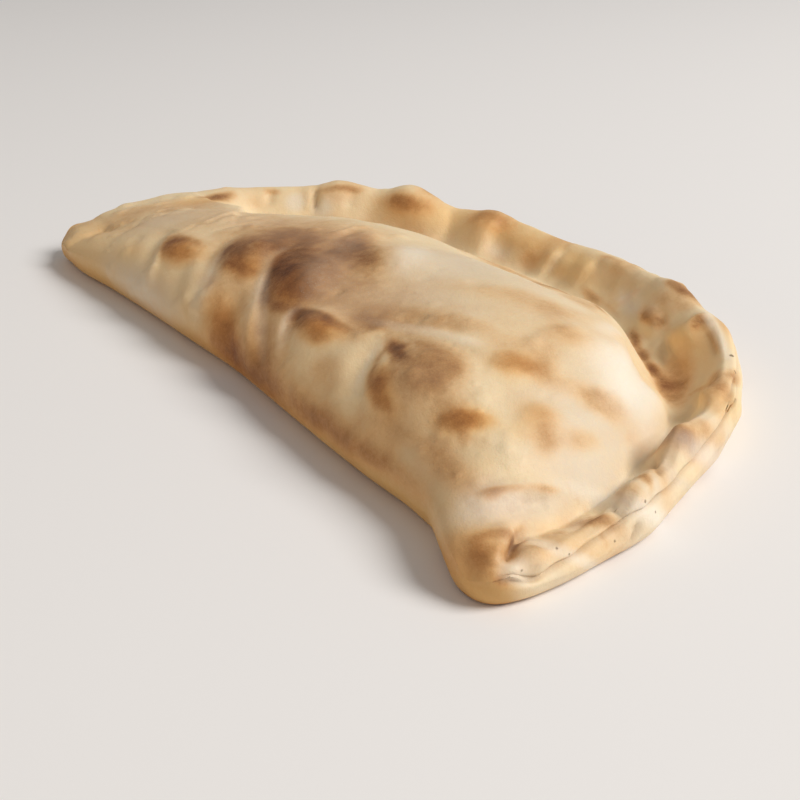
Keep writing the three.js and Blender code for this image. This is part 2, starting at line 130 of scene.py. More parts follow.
def crest_height(th):
    z = through(th, [-20, 44, 50, 60, 76, 90, 97, 115, 129, 140, 156, 166, 174, 182, 200],
                [17.4, 17.4, 17.6, 20.4, 19.6, 17.5, 16.6, 19.2, 22.3, 22.3, 20.5, 18.6, 14, 10.5, 10])
    for c, h, w in LOBES:
        z = z + h * bell(th, c, w)
    # the near roll: flat by the tip, then two lobes that start with a step
    roll = through(th, [-20, -5, 0, 4, 6, 8, 10, 12, 14, 15.3, 16.6, 18, 20, 22, 24, 25.3, 26.8, 28.2, 30, 32, 34, 36,
                        38, 39.6, 41.2, 44, 48],
                   [9, 9.5, 10.5, 10.4, 9.7, 9.4, 9.2, 9.8, 9.9, 10.2, 13.0, 14.7, 14.4, 13.4, 12.7, 12.7, 16.4, 18.1,
                    17.9, 17.3, 16.6, 15.7, 15.0, 15.0, 17.0, 17.9, 17.6])
    k = step(43, 47, th)
    return roll * (1 - k) + z * k


def seam_height(th, crest):
    near = through(th, [-20, -4, 0, 2, 4, 6, 8, 10, 12, 14, 16, 18, 20, 22, 24, 26, 28, 30, 32, 34, 36, 38, 40, 42, 60],
                   [6, 6.5, 6.8, 6.5, 6.4, 6.9, 7.2, 7.9, 8.1, 8.8, 9.9, 10.1, 10.0, 9.2, 8.7, 9.4, 10.0, 10.5, 11.1,
                    12.2, 13.1, 13.7, 13.9, 14.1, 16])
    far = crest * through(th, [-20, 42, 50, 60, 100, 150, 180, 200], [.8, .80, .86, .82, .70, .66, .6, .6])
    k = step(40, 46, th)
    return np.minimum(near * (1 - k) + far * k, crest - .6)


def lobeness(th):
    v = np.ones_like(th)
    for c, k in PINCHES:
        v = v - k * bell(th, c, 2.0)
    return np.clip(v, 0, 1)


def top_height(x, y):
    """the upper surface over the plan: belly, valley, rim and the noses at the tips"""
    ang = angle_of(x, y)
    th = np.clip(ang, -20, 200)
    from_rim = DISC_RADIUS + radius_change(ang) - np.hypot(x, y)
    from_fold = y - fold_line(x) + through(x, [-160, 60, 100, 110, 113, 115, 118, 121, 124, 127, 130, 133, 136, 160],
                                           [0, 0, 0, 0, .1, .35, 1.0, 1.55, 1.75, 1.5, .9, .3, 0, 0])
    crown = through(x, [-150, -120, -90, -60, -30, 0, 30, 60, 85, 105, 125, 150],
                    [24, 31, 35, 36.8, 38.6, 38, 37.2, 37, 36.6, 34.6, 30.5, 22])
    turn = through(x, [-150, -120, -60, 0, 60, 110, 135, 150], [8, 9, 10, 10, 10, 10, 9, 8])
    reach = through(x, [-150, -100, 0, 80, 150], [66, 92, 102, 94, 54])
    f = (1 - (1 - np.clip(from_fold / reach, 0, 1)) ** 3) ** (1 / 1.85)
    inset = through(th, [-20, 0, 15, 30, 45, 50, 55, 60, 65, 75, 90, 110, 130, 150, 170, 200],
                    [11, 11, 13, 15.2, 19.3, 22.3, 24.8, 25.6, 24.6, 23.2, 23, 23, 22, 19, 14, 10])
    rim_reach = through(th, [-20, 0, 15, 30, 45, 60, 75, 95, 120, 150, 180, 200],
                        [52, 57, 68, 78, 86, 100, 116, 128, 128, 112, 82, 68])
    full = through(th, [-20, 20, 45, 60, 75, 95, 120, 150, 180, 200], [1.5, 1.65, 1.75, 1.45, 1.15, 1, 1, 1, 1.1, 1.1])
    g = (1 - (1 - np.clip((from_rim - inset) / rim_reach, 0, 1)) ** 3) ** (1 / full)
    low = 5.5 + (turn - 5.5) * (1 - step(5, 45, from_fold))
    belly = low + (crown - low) * f * g - np.clip(inset - from_rim, 0, 30) * 1.2
    lobe = lobeness(th)
    near = 1 - step(42, 62, th)
    far_slope = through(th, [40, 60, 90, 120, 150, 180], [17, 18, 18.5, 18, 15, 9])
    t = np.clip((from_rim - RIM_WIDTH) / ((9 - 2 * (1 - lobe)) * near + far_slope * (1 - near)), 0, 1.6)
    valley = through(th, [-20, 0, 12, 20, 30, 60, 90, 120, 138, 146, 149, 152, 155, 160, 165, 170, 180, 200],
                     [9, 9, 7, 7, 7.5, 7.5, 7, 7.5, 8.5, 10, 12, 16.5, 19.6, 20, 18.9, 16.6, 11.5, 10])
    rim = (valley + (crest_height(th) - valley) * (1 - step(0, 1, t))
           - (1 - near) * (1 - lobe) * 1.3 * bell(t, .55, .35) - np.clip(t - 1, 0, 1) * 2)
    there = step(-8, 8, from_fold)
    rim = rim * there - 5 * (1 - there)
    edge = np.clip(-smooth_max(-from_fold, -from_rim, 5.0) / 11, 0, 1)
    rounded = np.sqrt(np.clip(1 - (1 - edge) ** 2, 0, 1))
    m1 = step(100, 124, x) * (1 - step(6, 32, y))
    m2 = step(-112, -130, x) * (1 - step(12, 28, y))
    # at the rear the belly slopes down to the rim without a valley
    shoulder = (through(th, [-20, 146, 150, 153, 158.6, 164.5, 170, 176, 182, 200],
                        [20, 20, 19.8, 20.4, 19.5, 19.0, 17.2, 13.2, 10.4, 10])
                + through(th, [-20, 146, 153, 158, 164, 170, 176, 200],
                          [.13, .13, .13, .125, .10, .08, .05, .04]) * (from_rim - 8))
    end = through(th, [-20, 147, 153, 155, 157, 160, 200], [38, 38, 34, 26, 14, 0, 0])
    shoulder = (shoulder - 10 * (1 - step(-14, 6, from_rim - end)) - 22 * (1 - step(144.5, 150.5, th))
                - 25 * (1 - step(2, 20, from_fold)) - .5 * np.clip(from_rim - 80, 0, 60))
    rounded = rounded + (1 - rounded) * .62 * step(5, 16, from_rim)
    nose = (15 * m1 + 13 * m2) * rounded - 8 * (1 - np.maximum(m1, m2))
    return smooth_max(smooth_max(smooth_max(belly, rim, 2.2), shoulder, 4.0), nose, 4.0)


def smooth_ring(v, k):
    w = np.hanning(2 * k + 1)
    w /= w.sum()
    vv = np.concatenate([v[-k:], v, v[:k]], axis=0)
    if v.ndim == 1:
        return np.convolve(vv, w, "valid")
    return np.stack([np.convolve(vv[:, i], w, "valid") for i in range(v.shape[1])], 1)


def section(ctrl, m, n):
    """smooth section through control points that vary round the ring, in m steps"""
    P = np.stack([np.stack([np.broadcast_to(a, (n,)), np.broadcast_to(b, (n,))], -1) for a, b in ctrl], 1)
    u = np.r_[0, np.cumsum(np.hypot(*np.moveaxis(np.diff(P, axis=1), -1, 0)).mean(0))]
    u /= u[-1]
    t = np.linspace(0, 1, m + 1)[1:]
    T = np.zeros_like(P)
    T[:, 1:-1] = (P[:, 2:] - P[:, :-2]) / (u[2:] - u[:-2])[None, :, None]
    T[:, 0] = (P[:, 1] - P[:, 0]) / (u[1] - u[0])
    T[:, -1] = (P[:, -1] - P[:, -2]) / (u[-1] - u[-2])
    k = np.clip(np.searchsorted(u, t, side="right") - 1, 0, len(ctrl) - 2)
    h = u[k + 1] - u[k]
    v = (t - u[k]) / h
    a, b = 2 * v**3 - 3 * v**2 + 1, v**3 - 2 * v**2 + v
    return (P[:, k] * a[None, :, None] + T[:, k] * (b * h)[None, :, None]
            + P[:, k + 1] * (1 - a)[None, :, None] + T[:, k + 1] * ((v**3 - v**2) * h)[None, :, None])


def middle_line(v, front, rear):
    x = 112 * (.5 * np.cos(np.pi * v) + .5 * (1 - 2 * v))
    ax, x1, y0 = np.abs(x), 85.0, 63.0
    a = np.where(x > 0, (y0 - front[1]) / (x1 * x1 + 2 * x1 * (front[0] - x1)),
                 (y0 - rear[1]) / (x1 * x1 + 2 * x1 * (-rear[0] - x1)))
    return np.c_[x, np.where(ax < x1, y0 - a * ax * ax, y0 - a * x1 * x1 - 2 * a * x1 * (ax - x1))]


def surface(n, nb, nw, nt):
    """a closed grid: ring points by section rows, from the middle of the base round to the middle of the top"""
    O = outline(n)
    T = np.roll(O, -1, 0) - np.roll(O, 1, 0)
    T /= np.hypot(*T.T)[:, None]
    N = smooth_ring(np.c_[-T[:, 1], T[:, 0]], max(1, int(n * 0.008)))
    N /= np.hypot(*N.T)[:, None]
    x, y = O.T
    th = np.clip(angle_of(x, y), -20, 200)
    from_fold = y - fold_line(x)
    rim = smooth_ring(np.where(x > 0, step(3, 14, from_fold), step(3, 36, from_fold)), max(1, int(n * 0.004)))
    i = np.arange(n)
    S = middle_line(np.minimum(i, n - i) / (n // 2), O[0], O[n // 2])
    R = S - O
    R /= np.hypot(*R.T)[:, None]
    m = 1 - step(3, 24, np.minimum(np.hypot(*(O - O[0]).T), np.hypot(*(O - O[n // 2]).T)))
    N = N * (1 - m)[:, None] + R * m[:, None]
    N /= np.hypot(*N.T)[:, None]
    A = O + N * RIM_WIDTH
    crest = top_height(A[:, 0], A[:, 1])
    knots = [-20, 0, 14, 24, 36, 46, 60, 90, 180, 200]
    lip = through(th, knots, [4.6, 4.6, 4.2, 5.0, 8.6, 10.2, 9.5, 8, 7, 6])
    under = through(th, knots, [4.2, 4.2, 4.2, 4.4, 6.0, 7.0, 7.0, 6.5, 5.5, 5])
    seam = seam_height(th, crest)
    z0 = 0 * crest
    W = section([(under, z0), (.34 * under, .26 * lip), (z0, lip), (.3 + z0, .5 * lip + .5 * seam), (1.3 + z0, seam),
                 (1.9 + z0, seam + .35 * (crest - seam)), (3.1 + z0, seam + .80 * (crest - seam)),
                 (RIM_WIDTH + z0, crest)], nw, n)
    seam_gap = W[..., 1] - seam[:, None]
    W[..., 0] += 1.0 * np.exp(-(seam_gap / .6) ** 2)
    fold_under = through(x, [-150, -125, 98, 116, 128, 150], [5, 7, 7, 5, 3.6, 4.2])
    turn = top_height(O[:, 0], O[:, 1])
    q = np.arange(1, nw // 2 + 1) / (nw // 2) * np.pi / 2
    U = np.stack([fold_under[:, None] * (1 - np.sin(q)), turn[:, None] * (1 - np.cos(q))], -1)
    s = (np.arange(1, nw - nw // 2 + 1) / (nw - nw // 2)) ** 1.8 * RIM_WIDTH
    V = np.stack([np.broadcast_to(s, (n, len(s))),
                  top_height(O[:, None, 0] + N[:, None, 0] * s, O[:, None, 1] + N[:, None, 1] * s)], -1)
    r = rim[:, None, None]
    prof = np.concatenate([U, V], 1) * (1 - r) + W * r
    wall = np.concatenate([O[:, None] + N[:, None] * prof[..., :1], prof[..., 1:]], -1)
    B = O + N * (under * rim + fold_under * (1 - rim))[:, None]
    t = np.linspace(0, 1, nb + 1)[None, :, None]
    base = np.concatenate([S[:, None] * (1 - t) + B[:, None] * t, np.zeros((n, nb + 1, 1))], -1)
    w = (np.linspace(0, 1, nt + 1)[1:] ** 1.15)[None, :, None]
    top = A[:, None] * (1 - w) + S[:, None] * w
    top = np.concatenate([top, top_height(top[..., 0], top[..., 1])[..., None]], -1)
    return (np.concatenate([base, wall, top], 1),
            dict(th=th, rim=rim, from_fold=from_fold, seam_gap=np.abs(seam_gap), n_base=nb, n_wall=nw))


def normals(P):
    du = np.roll(P, -1, 0) - np.roll(P, 1, 0)
    dv = np.gradient(P, axis=1)
    N = np.cross(du, dv)
    N /= np.maximum(np.linalg.norm(N, axis=-1, keepdims=True), 1e-9)
    # the last row lies on the middle line, which both halves of the ring share
    N[:, -1] = N[:, -2] + N[-np.arange(len(P)) % len(P), -2]
    N[:, -1] /= np.linalg.norm(N[:, -1], axis=-1, keepdims=True)
    N[:, 0] = (0, 0, -1)
    return N


# swellings of the dough: centre, radii along and across, turn, height
DOMES = [
    (4, 29, 28, 15, 11, -20, 2.6), (-28, 27, 28, 13, 10, -10, 2), (-60, 15, 24, 11, 8, 0, 1.7),
    (35, 17, 26, 10, 7, -10, 1.5), (15, 58, 36, 15, 12, 20, 1.7), (-13, 62, 34.5, 6, 4, 0, 1),
    (86, 22, 28, 17, 13, 15, 2.6), (105, 22, 25, 9, 7, 20, 0.9), (115, 38, 24, 9, 6, 30, 0.8),
    (121, 26, 20, 8, 7, 10, 1.1), (98, 45, 30, 10, 7, 30, 0.9), (90, 68, 31, 15, 9, 35, 1.3),
    (66, 46, 35.5, 17, 8, 25, 0.8), (105, 62, 24, 9, 7, 40, 0.8), (-95, 32, 24, 16, 9, 10, 1),
    (-120, 26, 17, 13, 8, 10, 0.9), (-50, 50, 33, 18, 10, 10, -0.9), (40, 80, 33, 20, 10, 0, 0.8),
    (-5, 88, 28, 18, 9, 0, -0.8), (-60, 80, 24, 16, 10, -30, 0.8), (-76, 119, 20, 10, 9, 30, 2.6),
    (-48, 131, 15, 10, 8, 20, 1.5), (-103, 98, 19, 9, 7, 45, 1), (0, 140, 14, 8, 7, 0, 1),
    (28, 136, 14, 8, 7, -10, -0.8), (58, 130, 16, 9, 7, -25, 1), (90, 116, 15, 9, 7, -40, -1),
    (76, 122, 15, 8, 7, -30, 0.8), (112, 99, 16, 8, 7, -50, 0.7), (-25, 140, 14, 7, 6, 5, -0.8),
    (18, 99, 24, 26, 12, -5, -2.4), (90, 97, 16, 20, 12, -40, -5), (-3, 108, 18.5, 21, 14, 0, -2.6),
    (56, 104, 17.5, 16, 12, -25, 2.2),
]
# edges of blisters and pleats, steep on one side: points, the ellipse they lie in, height, half width
SHELVES = [
    ([(7.8, 9.1, 20.1), (3.1, 12.9, 23.1), (-3.9, 17.4, 25.8), (-9.5, 22.7, 28.2), (-14.1, 28.2, 30.2), (-16.4, 33.5, 31.6), (-14.4, 36.7, 32.2), (-11.4, 40.4, 32.7), (-9.8, 43.7, 33.1)], (9.2, 21.6, 30.4, 10.4, 10.5, 6.5, -22.6, 6.7, 5.3), -2.2, 2),
    ([(-25.3, 7.2, 19.8), (-30.7, 11.1, 23.4), (-35.1, 15.5, 26), (-38.6, 21, 28.3), (-39, 26.7, 30.1), (-41.1, 33, 31.3), (-40.3, 41.2, 32.4)], (-17.7, 19.6, 28.3, 8.4, 11.1, 4.2, -14.5, 4.3, 6.4), -1.7, 2),
    ([(-55.5, 1.5, 13.7), (-57.5, 3.8, 17.5), (-59.4, 6.1, 20), (-65.2, 10.5, 23.2), (-67, 13.9, 24.8), (-64.7, 16.5, 25.9), (-58.3, 18.3, 26.8)], (-50.4, 10, 23.4, 9.9, 7.1, 3.5, -11.2, 3.3, 6.2), -1.3, 1.7),
    ([(27.3, 7.9, 19.3), (22.8, 10.5, 21.5), (20.8, 13.2, 23.3), (20.2, 15.7, 24.7), (20.5, 18, 25.9), (25.1, 20.2, 26.8), (35.4, 21.1, 27.2)], (35.5, 14.2, 26.4, 12, 4.3, 3, -8.2, 4.5, 3.8), -1.4, 1.6),
    ([(72.8, 7.1, 19.7), (69.1, 10.1, 22.1), (66.3, 13.8, 24.4), (62.4, 18.5, 26.6), (60.5, 22.5, 28.1), (61.2, 25.5, 29.1), (65.7, 28.5, 30.1), (73.6, 31, 30.8), (79.7, 34.2, 31.4), (85.1, 35.6, 31.3)], (87.3, 17.5, 30.1, 14.5, 10.3, 1.4, -12.1, 9.1, 6.7), -1.6, 2),
    ([(102.7, 13.1, 23), (101.5, 15.5, 24.2), (102.6, 17.6, 24.9), (104.3, 19.8, 25.4), (107.6, 22.3, 25.4), (110.1, 24.6, 25.2)], (108.9, 17.1, 25.3, 6.6, 6, 1.2, -4.7, 3.2, 2.8), 0.9, 1.6),
    ([(112.5, 31.2, 25.2), (110.9, 34.6, 25.8), (111.4, 39.8, 25.3), (113.6, 41.3, 24.1)], (115.9, 35.1, 25.3, 3.1, 4.9, -1.1, -4.5, 4.2, 2.1), 0.5, 1.5),
    ([(85.4, 58, 32.3), (84.4, 64.1, 32), (86.5, 67.7, 31), (90.5, 70.7, 29.2)], (92.2, 62.2, 31.8, 5.7, 6.7, -2.3, -5, 5.6, 2.1), 0.8, 1.6),
    ([(64.6, 38.7, 32.4), (64.7, 44.3, 33.4), (69.8, 47.4, 33.7), (75.4, 49.2, 33.6)], (73.6, 41.7, 33.7, 8.2, 4.7, 0.5, -6, 4.9, 1.8), 0.6, 1.5),
    ([(89.6, 39.8, 31.2), (85.9, 44.3, 32), (87, 48.2, 32), (90.4, 50.7, 31.3)], (96.1, 40.5, 31.5, 3.1, 6.2, -0.3, -6.2, 4.6, 2.4), 0.6, 1.5),
    ([(112, 54, 22.1), (109, 57, 23.2), (107.9, 61, 22.7), (108.3, 65.2, 21.2)], (112.2, 59.6, 21.2, 2.2, 6.3, -3.8, -4, 5.7, 1.7), 0.6, 1.6),
    ([(-44.4, 140.9, 20.9), (-41.5, 136.5, 17.8), (-40.9, 132.8, 13.8), (-40.1, 128.8, 9.8)], (-42.1, 131, 16.9, 6.5, 3.5, -3, -0.8, 5.5, 6.2), 2, 1.1),
    ([(-10.7, 143.1, 16.2), (-7.9, 139.5, 13.8), (-8.4, 135.5, 10.4), (-7.7, 132.2, 8.1)], (-11.3, 135.5, 13.2, 12.2, -2.8, 0.2, 0.3, 4.3, 5), 2, 1.1),
    ([(9.6, 142.6, 17.2), (10.7, 139.5, 14.9), (10.5, 136.8, 12.3), (10.3, 133.5, 9.5)], (9.1, 136.4, 14.4, 6.7, 0.6, -1.5, 0.2, 3.7, 4.2), 1.5, 1.1),
    ([(31.1, 132.3, 11.3), (33.5, 134.3, 13.6), (35.8, 136.1, 15.8), (36.3, 138.6, 18.2)], (34.8, 134.6, 12.9, 6.8, -0.4, -0.2, 0, 2.6, 3.3), 1.1, 1),
    ([(-66.5, 130, 19.1), (-63.9, 128.2, 16.7), (-61.8, 125.6, 13), (-61, 123.1, 10.5)], (-66.7, 121.7, 16.2, 5.4, 6.8, -0.1, -3.6, 2.4, 6.5), 1.2, 1.4),
    ([(97.1, 102.4, 7.5), (94.9, 107.3, 8.6), (99.8, 106.9, 12.2), (111.8, 101.4, 17.5), (108.9, 109.8, 16.3)], (113.6, 93.9, 16.6, 11.4, -2.9, 2, -1.4, 3, 2.5), 1.4, 1.2),
    ([(62.4, 129.1, 17.9), (61, 127.3, 15.6), (61.7, 125, 13.1), (62.8, 122.1, 10.2)], (61.3, 123.2, 13.8, 3.9, 2.7, 0.7, -2.7, 2.2, 3.4), 0.8, 1),
    ([(78.2, 128, 21.4), (79.2, 125.3, 20.7), (79.7, 123.2, 19.4), (81.4, 120.5, 17.1)], (79.2, 121.8, 20.1, 2.7, 3, 0.1, -3.5, 3, 2.4), 1, 1),
]
# furrows, wrinkles and small ridges: points, height, radius
RIDGES = [
    ([(-20.4, 37.9, 33.4), (-16, 26.8, 30.8), (-5, 17.2, 26.7), (9.5, 9.8, 21.6), (21.9, 5.4, 16.8), (30.4, 3.2, 12.3)], -1.9, 4.2),
    ([(24.4, 19.1, 28), (23, 14.2, 25.3), (28.1, 8.2, 20.7), (37.5, 4.2, 15.5)], -1.2, 3.6),
    ([(62.5, 24.9, 30.7), (60.9, 17.4, 27.5), (67.9, 9.9, 22.9), (76, 3.8, 16.1), (82, 2, 10.3)], -1.6, 4.5),
    ([(-43.4, 27, 30.9), (-41.3, 18.5, 28.1), (-31.4, 10.6, 23.5), (-23.9, 4.6, 16.7)], -1.4, 4.2),
    ([(-78.7, 17.1, 26.2), (-72.5, 10, 23.6), (-65.3, 4.7, 19.5)], -1, 4.2),
    ([(-108, 20, 20), (-104, 9, 17), (-98, 3, 12)], -0.9, 5),
    ([(60.4, 22.5, 29.8), (60.8, 28.8, 32), (72.4, 34.1, 33.2), (85.1, 38.4, 32.8), (95, 42, 31)], 0.9, 2.6),
    ([(-0.6, 15.4, 24.6), (6.4, 10.4, 21.2), (11.7, 6.4, 17.2), (17, 4.1, 13.4)], 1.3, 4.2),
    ([(-13.2, 15.1, 25), (-7.1, 8.5, 19.8), (-1.2, 4, 12.6), (5.9, 3.9, 7.3)], -1.8, 5.5),
    ([(-27.6, 8.9, 21.6), (-22.1, 5.5, 17.7), (-21.1, 3.2, 13.4)], 1.1, 4.2),
    ([(-61.1, 5.6, 19.6), (-58.7, 2.7, 16.2), (-56.8, 0.8, 11.9)], 0.9, 3.6),
    ([(-47.8, 10.9, 23.4), (-42.4, 5.3, 18.6), (-36.5, 2.4, 13.6)], -0.9, 5),
    ([(25.5, 9.4, 20.6), (30.4, 6.8, 18.3), (38.7, 4.3, 15.3)], 0.8, 3.6),
    ([(69.5, 8.5, 20.9), (72.7, 5.4, 17.8), (76.7, 2.8, 13.8), (82, 2.1, 8.7)], 1.3, 5),
    ([(44.1, 11.9, 22.8), (52.5, 7.6, 19.7), (62.6, 4.5, 16.5)], -0.7, 6),
    ([(87.1, 7.7, 20.2), (93.4, 5.4, 17.3), (101.5, 3.7, 13.9)], -0.7, 6),
    ([(131, 6, 16.4), (130, 8.9, 16.8), (130, 11.8, 17.1), (130.5, 16.4, 16.9), (130.9, 21.5, 16), (131.3, 26.7, 14.5), (132.2, 29.5, 12.8)], 1, 2.2),
    ([(133.8, 16.1, 14.6), (133.8, 20.6, 13.7), (133.3, 25.1, 12.9)], -1.4, 2.6),
    ([(138.1, 4.8, 15), (136.4, 9.9, 14.3), (135.5, 13.9, 13.4)], -0.4, 1.6),
    ([(-19.5, 51, 33.8), (-18.8, 56, 33.8), (-21.7, 63, 33.2), (-20.4, 66.3, 32.9), (-16.5, 67.4, 32.8)], 0.9, 1.5),
    ([(-14.4, 51.5, 33.7), (-16.3, 58, 33.7), (-13.5, 61.7, 33.5)], -0.5, 1.3),
    ([(24, 28.5, 29.7), (23.4, 30.9, 30.4), (23.3, 32.7, 30.9)], -0.5, 1.4),
    ([(54.5, 31.9, 30.8), (55.9, 35.5, 31.8), (61.9, 37.8, 32.3)], -0.5, 1.8),
    ([(49.6, 20, 27), (53.4, 23.1, 28.2), (53.5, 28, 29.7)], 0.5, 2),
    ([(138.6, 14.2, 10.9), (143, 9.8, 13.4), (145.9, 5.9, 13.3), (147.5, 3.2, 12.3), (148.9, 0.2, 10.7)], -2.4, 1.25),
    ([(139, 14.1, 10.7), (146.2, 5.8, 13.1), (148.8, 0.3, 10.8)], -1.3, 3.4),
    ([(145.2, 3, 13.6), (146.8, 0.2, 12.1), (147.9, -1.5, 10.4)], 1.1, 2.2),
    ([(150.2, -0.5, 9.1), (151.1, 0.6, 8.1), (151.4, 2.6, 7.1), (151.1, 5.7, 6.4), (150.6, 7.9, 5.9), (150.3, 10, 5.9)], -0.9, 1),
    ([(149.6, -0.2, 9.9), (149.9, 1.2, 10), (149.9, 4.1, 9.7), (149.5, 6.9, 9.9), (149.1, 11.5, 9.3)], 0.9, 2.2),
    ([(149.5, -1.9, 8.8), (150.6, -0.8, 8.2)], -0.4, 1.6),
    ([(147.4, 14.1, 9.8), (147, 19.1, 9.2), (144.3, 26.3, 9.2), (142.6, 31.2, 9.8), (142.5, 34.8, 9.9), (142.3, 38.3, 10)], 0.7, 1.3),
    ([(143, 24.9, 9.1), (141.7, 30.4, 9.6), (137.5, 37.2, 8.5), (138.8, 39.5, 10.4)], -0.7, 1.9),
    ([(139.2, 38.9, 10), (142.3, 38.3, 10), (145, 38.1, 9.2)], -0.9, 1.1),
    ([(127.1, 62.3, 10), (135.8, 57, 12.8), (138.6, 56, 11.9)], -0.9, 1.2),
    ([(140, 17.6, 8.5), (141.7, 18.8, 8.9), (144.1, 20.2, 9.3), (146.5, 21, 9.1)], 0.6, 1),
    ([(138.4, 15.6, 10.3), (138.2, 18.4, 9.3), (139.5, 22.5, 8), (144.4, 23.5, 9.2)], 0.5, 2),
    ([(146.2, 41.2, 8), (146.8, 41.3, 5.4), (146.8, 39.1, 2.8)], -1.4, 1.15),
    ([(59.1, 123.5, 10.9), (60.9, 124.9, 12.8)], -0.6, 1.2),
    ([(69.3, 120.4, 11.7), (75, 117.3, 10.6), (80.1, 114.9, 9.6)], -0.5, 1.5),
    ([(83.5, 122.1, 19.6), (88.1, 119.8, 18.5), (94, 116, 16.8)], -0.6, 1.6),
    ([(71.5, 119.1, 11.3), (73, 115.9, 8.8), (78, 113.3, 8)], -0.4, 1.4),
    ([(78.9, 124.7, 20.3), (79.7, 124.7, 20.5)], -1.2, 1.4),
    ([(108.2, 111.1, 15.7), (113.3, 104.4, 16.4), (116.6, 99.9, 15.6), (120.5, 93.4, 14.7)], -1, 1),
    ([(-121.1, 81, 21.1), (-119.8, 78.7, 19.1), (-117.9, 77.6, 16.7)], -1.2, 1.9),
    ([(-111.1, 95.6, 22.2), (-108.1, 93.6, 18.8), (-105.4, 92, 14.8)], -1.3, 1.5),
    ([(-112.5, 93.1, 21.6), (-109.5, 91.2, 17.7), (-108, 89.2, 14.5)], 0.6, 2),
    ([(-98.9, 107, 23.3), (-97.4, 104.3, 20.2), (-95.9, 101.7, 16.2)], -0.8, 2.4),
    ([(-66.7, 20.8, 27.7), (-67.9, 25.3, 29), (-65.8, 30.1, 30.1), (-71.2, 42.2, 28.9), (-67.9, 48.3, 28.9)], -0.6, 1.3),
    ([(-57.4, 26.7, 29.1), (-56.3, 33.1, 30.2), (-54.7, 40.3, 30.9)], -0.4, 1.2),
    ([(-68.9, 22.7, 28.3), (-67.6, 31.1, 30.1), (-75.1, 43.1, 28.7)], 0.4, 1.6),
]
# rounded swellings and hollows: centre, two half axes, height
SWELLS = [
    (107.9, 81.3, 14.9, -4.1, 9.7, -3, -10.7, 8, 1.1, 1.9),
    (16.1, 54.1, 36.6, 7.9, 3.5, 0.2, -6.5, 4.5, 0.7, 1.1),
    (149.5, 8.8, 12.6, 1.4, 2.8, -0.6, -2.1, 1.9, 0.5, 1.7),
    (145.8, 17.7, 10.3, 3, 2.5, 0.4, -2.1, 1.8, -0.2, 0.6),
    (141.8, -2.5, 12.7, 2.9, 1.8, 0.8, -2.8, 1.9, 2.5, 0.5),
    (-36.5, 132.9, 10.5, 3.9, 2.6, 0.5, -2.9, 2.3, 3.5, -1.3),
    (19.3, 137.7, 11.8, 4.8, 1.1, 1.1, -3.1, 2.3, 2.3, -1),
    (40, 132.6, 12.2, 6.2, -1.8, 2.2, -5.4, 4.6, 1.7, -0.9),
    (57.2, 123.2, 14.4, 5.2, -0.3, 1.9, -3.3, 2.6, 2.7, 1.7),
    (76.3, 118.4, 16.1, 6.9, -1.2, 2.6, -2, 1.8, 3.2, 1.8),
    (69.6, 116, 9.2, 2.3, 1.1, 0.5, -4.1, 3.5, 1.8, 0.9),
    (61.5, 126.3, 15.4, 0.9, 1.2, 0.6, -3.1, 1.2, 1.9, -1),
    (72.5, 118.2, 9.2, 2.4, 0.5, 0.4, -2.6, 3.3, 2.4, -0.9),
    (78.3, 124.9, 21.8, 0.1, 3.6, 1.4, -1.5, 0.1, 0.7, 0.9),
    (84.2, 116.3, 12.4, 3.3, 0.2, 0.7, -2.1, 2.5, 3.3, 0.8),
    (16.3, 142.2, 18.7, 8.4, -0.4, 0.2, -1.3, 2.1, 1.4, 0.9),
    (36.1, 134, 12.2, 3.9, -0.7, -0.5, 0.1, 2.4, 2.9, -0.9),
    (-4.4, 137, 13.5, 8.2, -0.7, 0.6, -1.6, 2.6, 2.6, 0.9),
    (-32.3, 137.6, 15.7, 5.7, 1.3, -0.2, -1.6, 3, 2.8, 0.8),
    (87.2, 119.9, 16.5, 1.8, 1.3, 1.3, -5.1, 2.6, 2.7, -0.25),
    (112.5, 93.8, 15.7, 8.9, -3.8, 2.4, -0.3, 1.2, 2.1, 0.8),
    (88.3, 108.2, 5.6, 2.3, 1.6, 0.3, -5.5, 4.9, 0.9, -0.9),
    (10.3, 25, 32.1, 0.3, 7.7, 2.8, -9.7, 2.1, 1.9, 0.9),
    (-23.1, 24.7, 31.9, 4.2, 7.1, 1.5, -6.7, 2.5, 1.8, 0.7),
    (-54.3, 11.6, 25.7, 5.6, 4.2, 1.9, -4.9, 1.7, 1.9, 0.6),
    (34.5, 15.2, 27.1, 7.1, 1.7, 1, -3.8, 2.8, 1.5, 0.8),
    (85.8, 17.2, 30.2, 10.6, 5.2, 1.7, -6.5, 4.9, 3.3, 0.8),
    (142.2, 43.5, 14, 4, 0, -1, -0.3, 2.1, 1, 0.7),
    (131.5, 69.1, 17.4, 2.6, 0.8, -2.2, -0.7, 2.9, 0.7, 0.7),
    (145.8, 33.9, 7.9, 2.5, 2.1, -1.7, -1.2, 2.6, 0.8, -0.4),
]
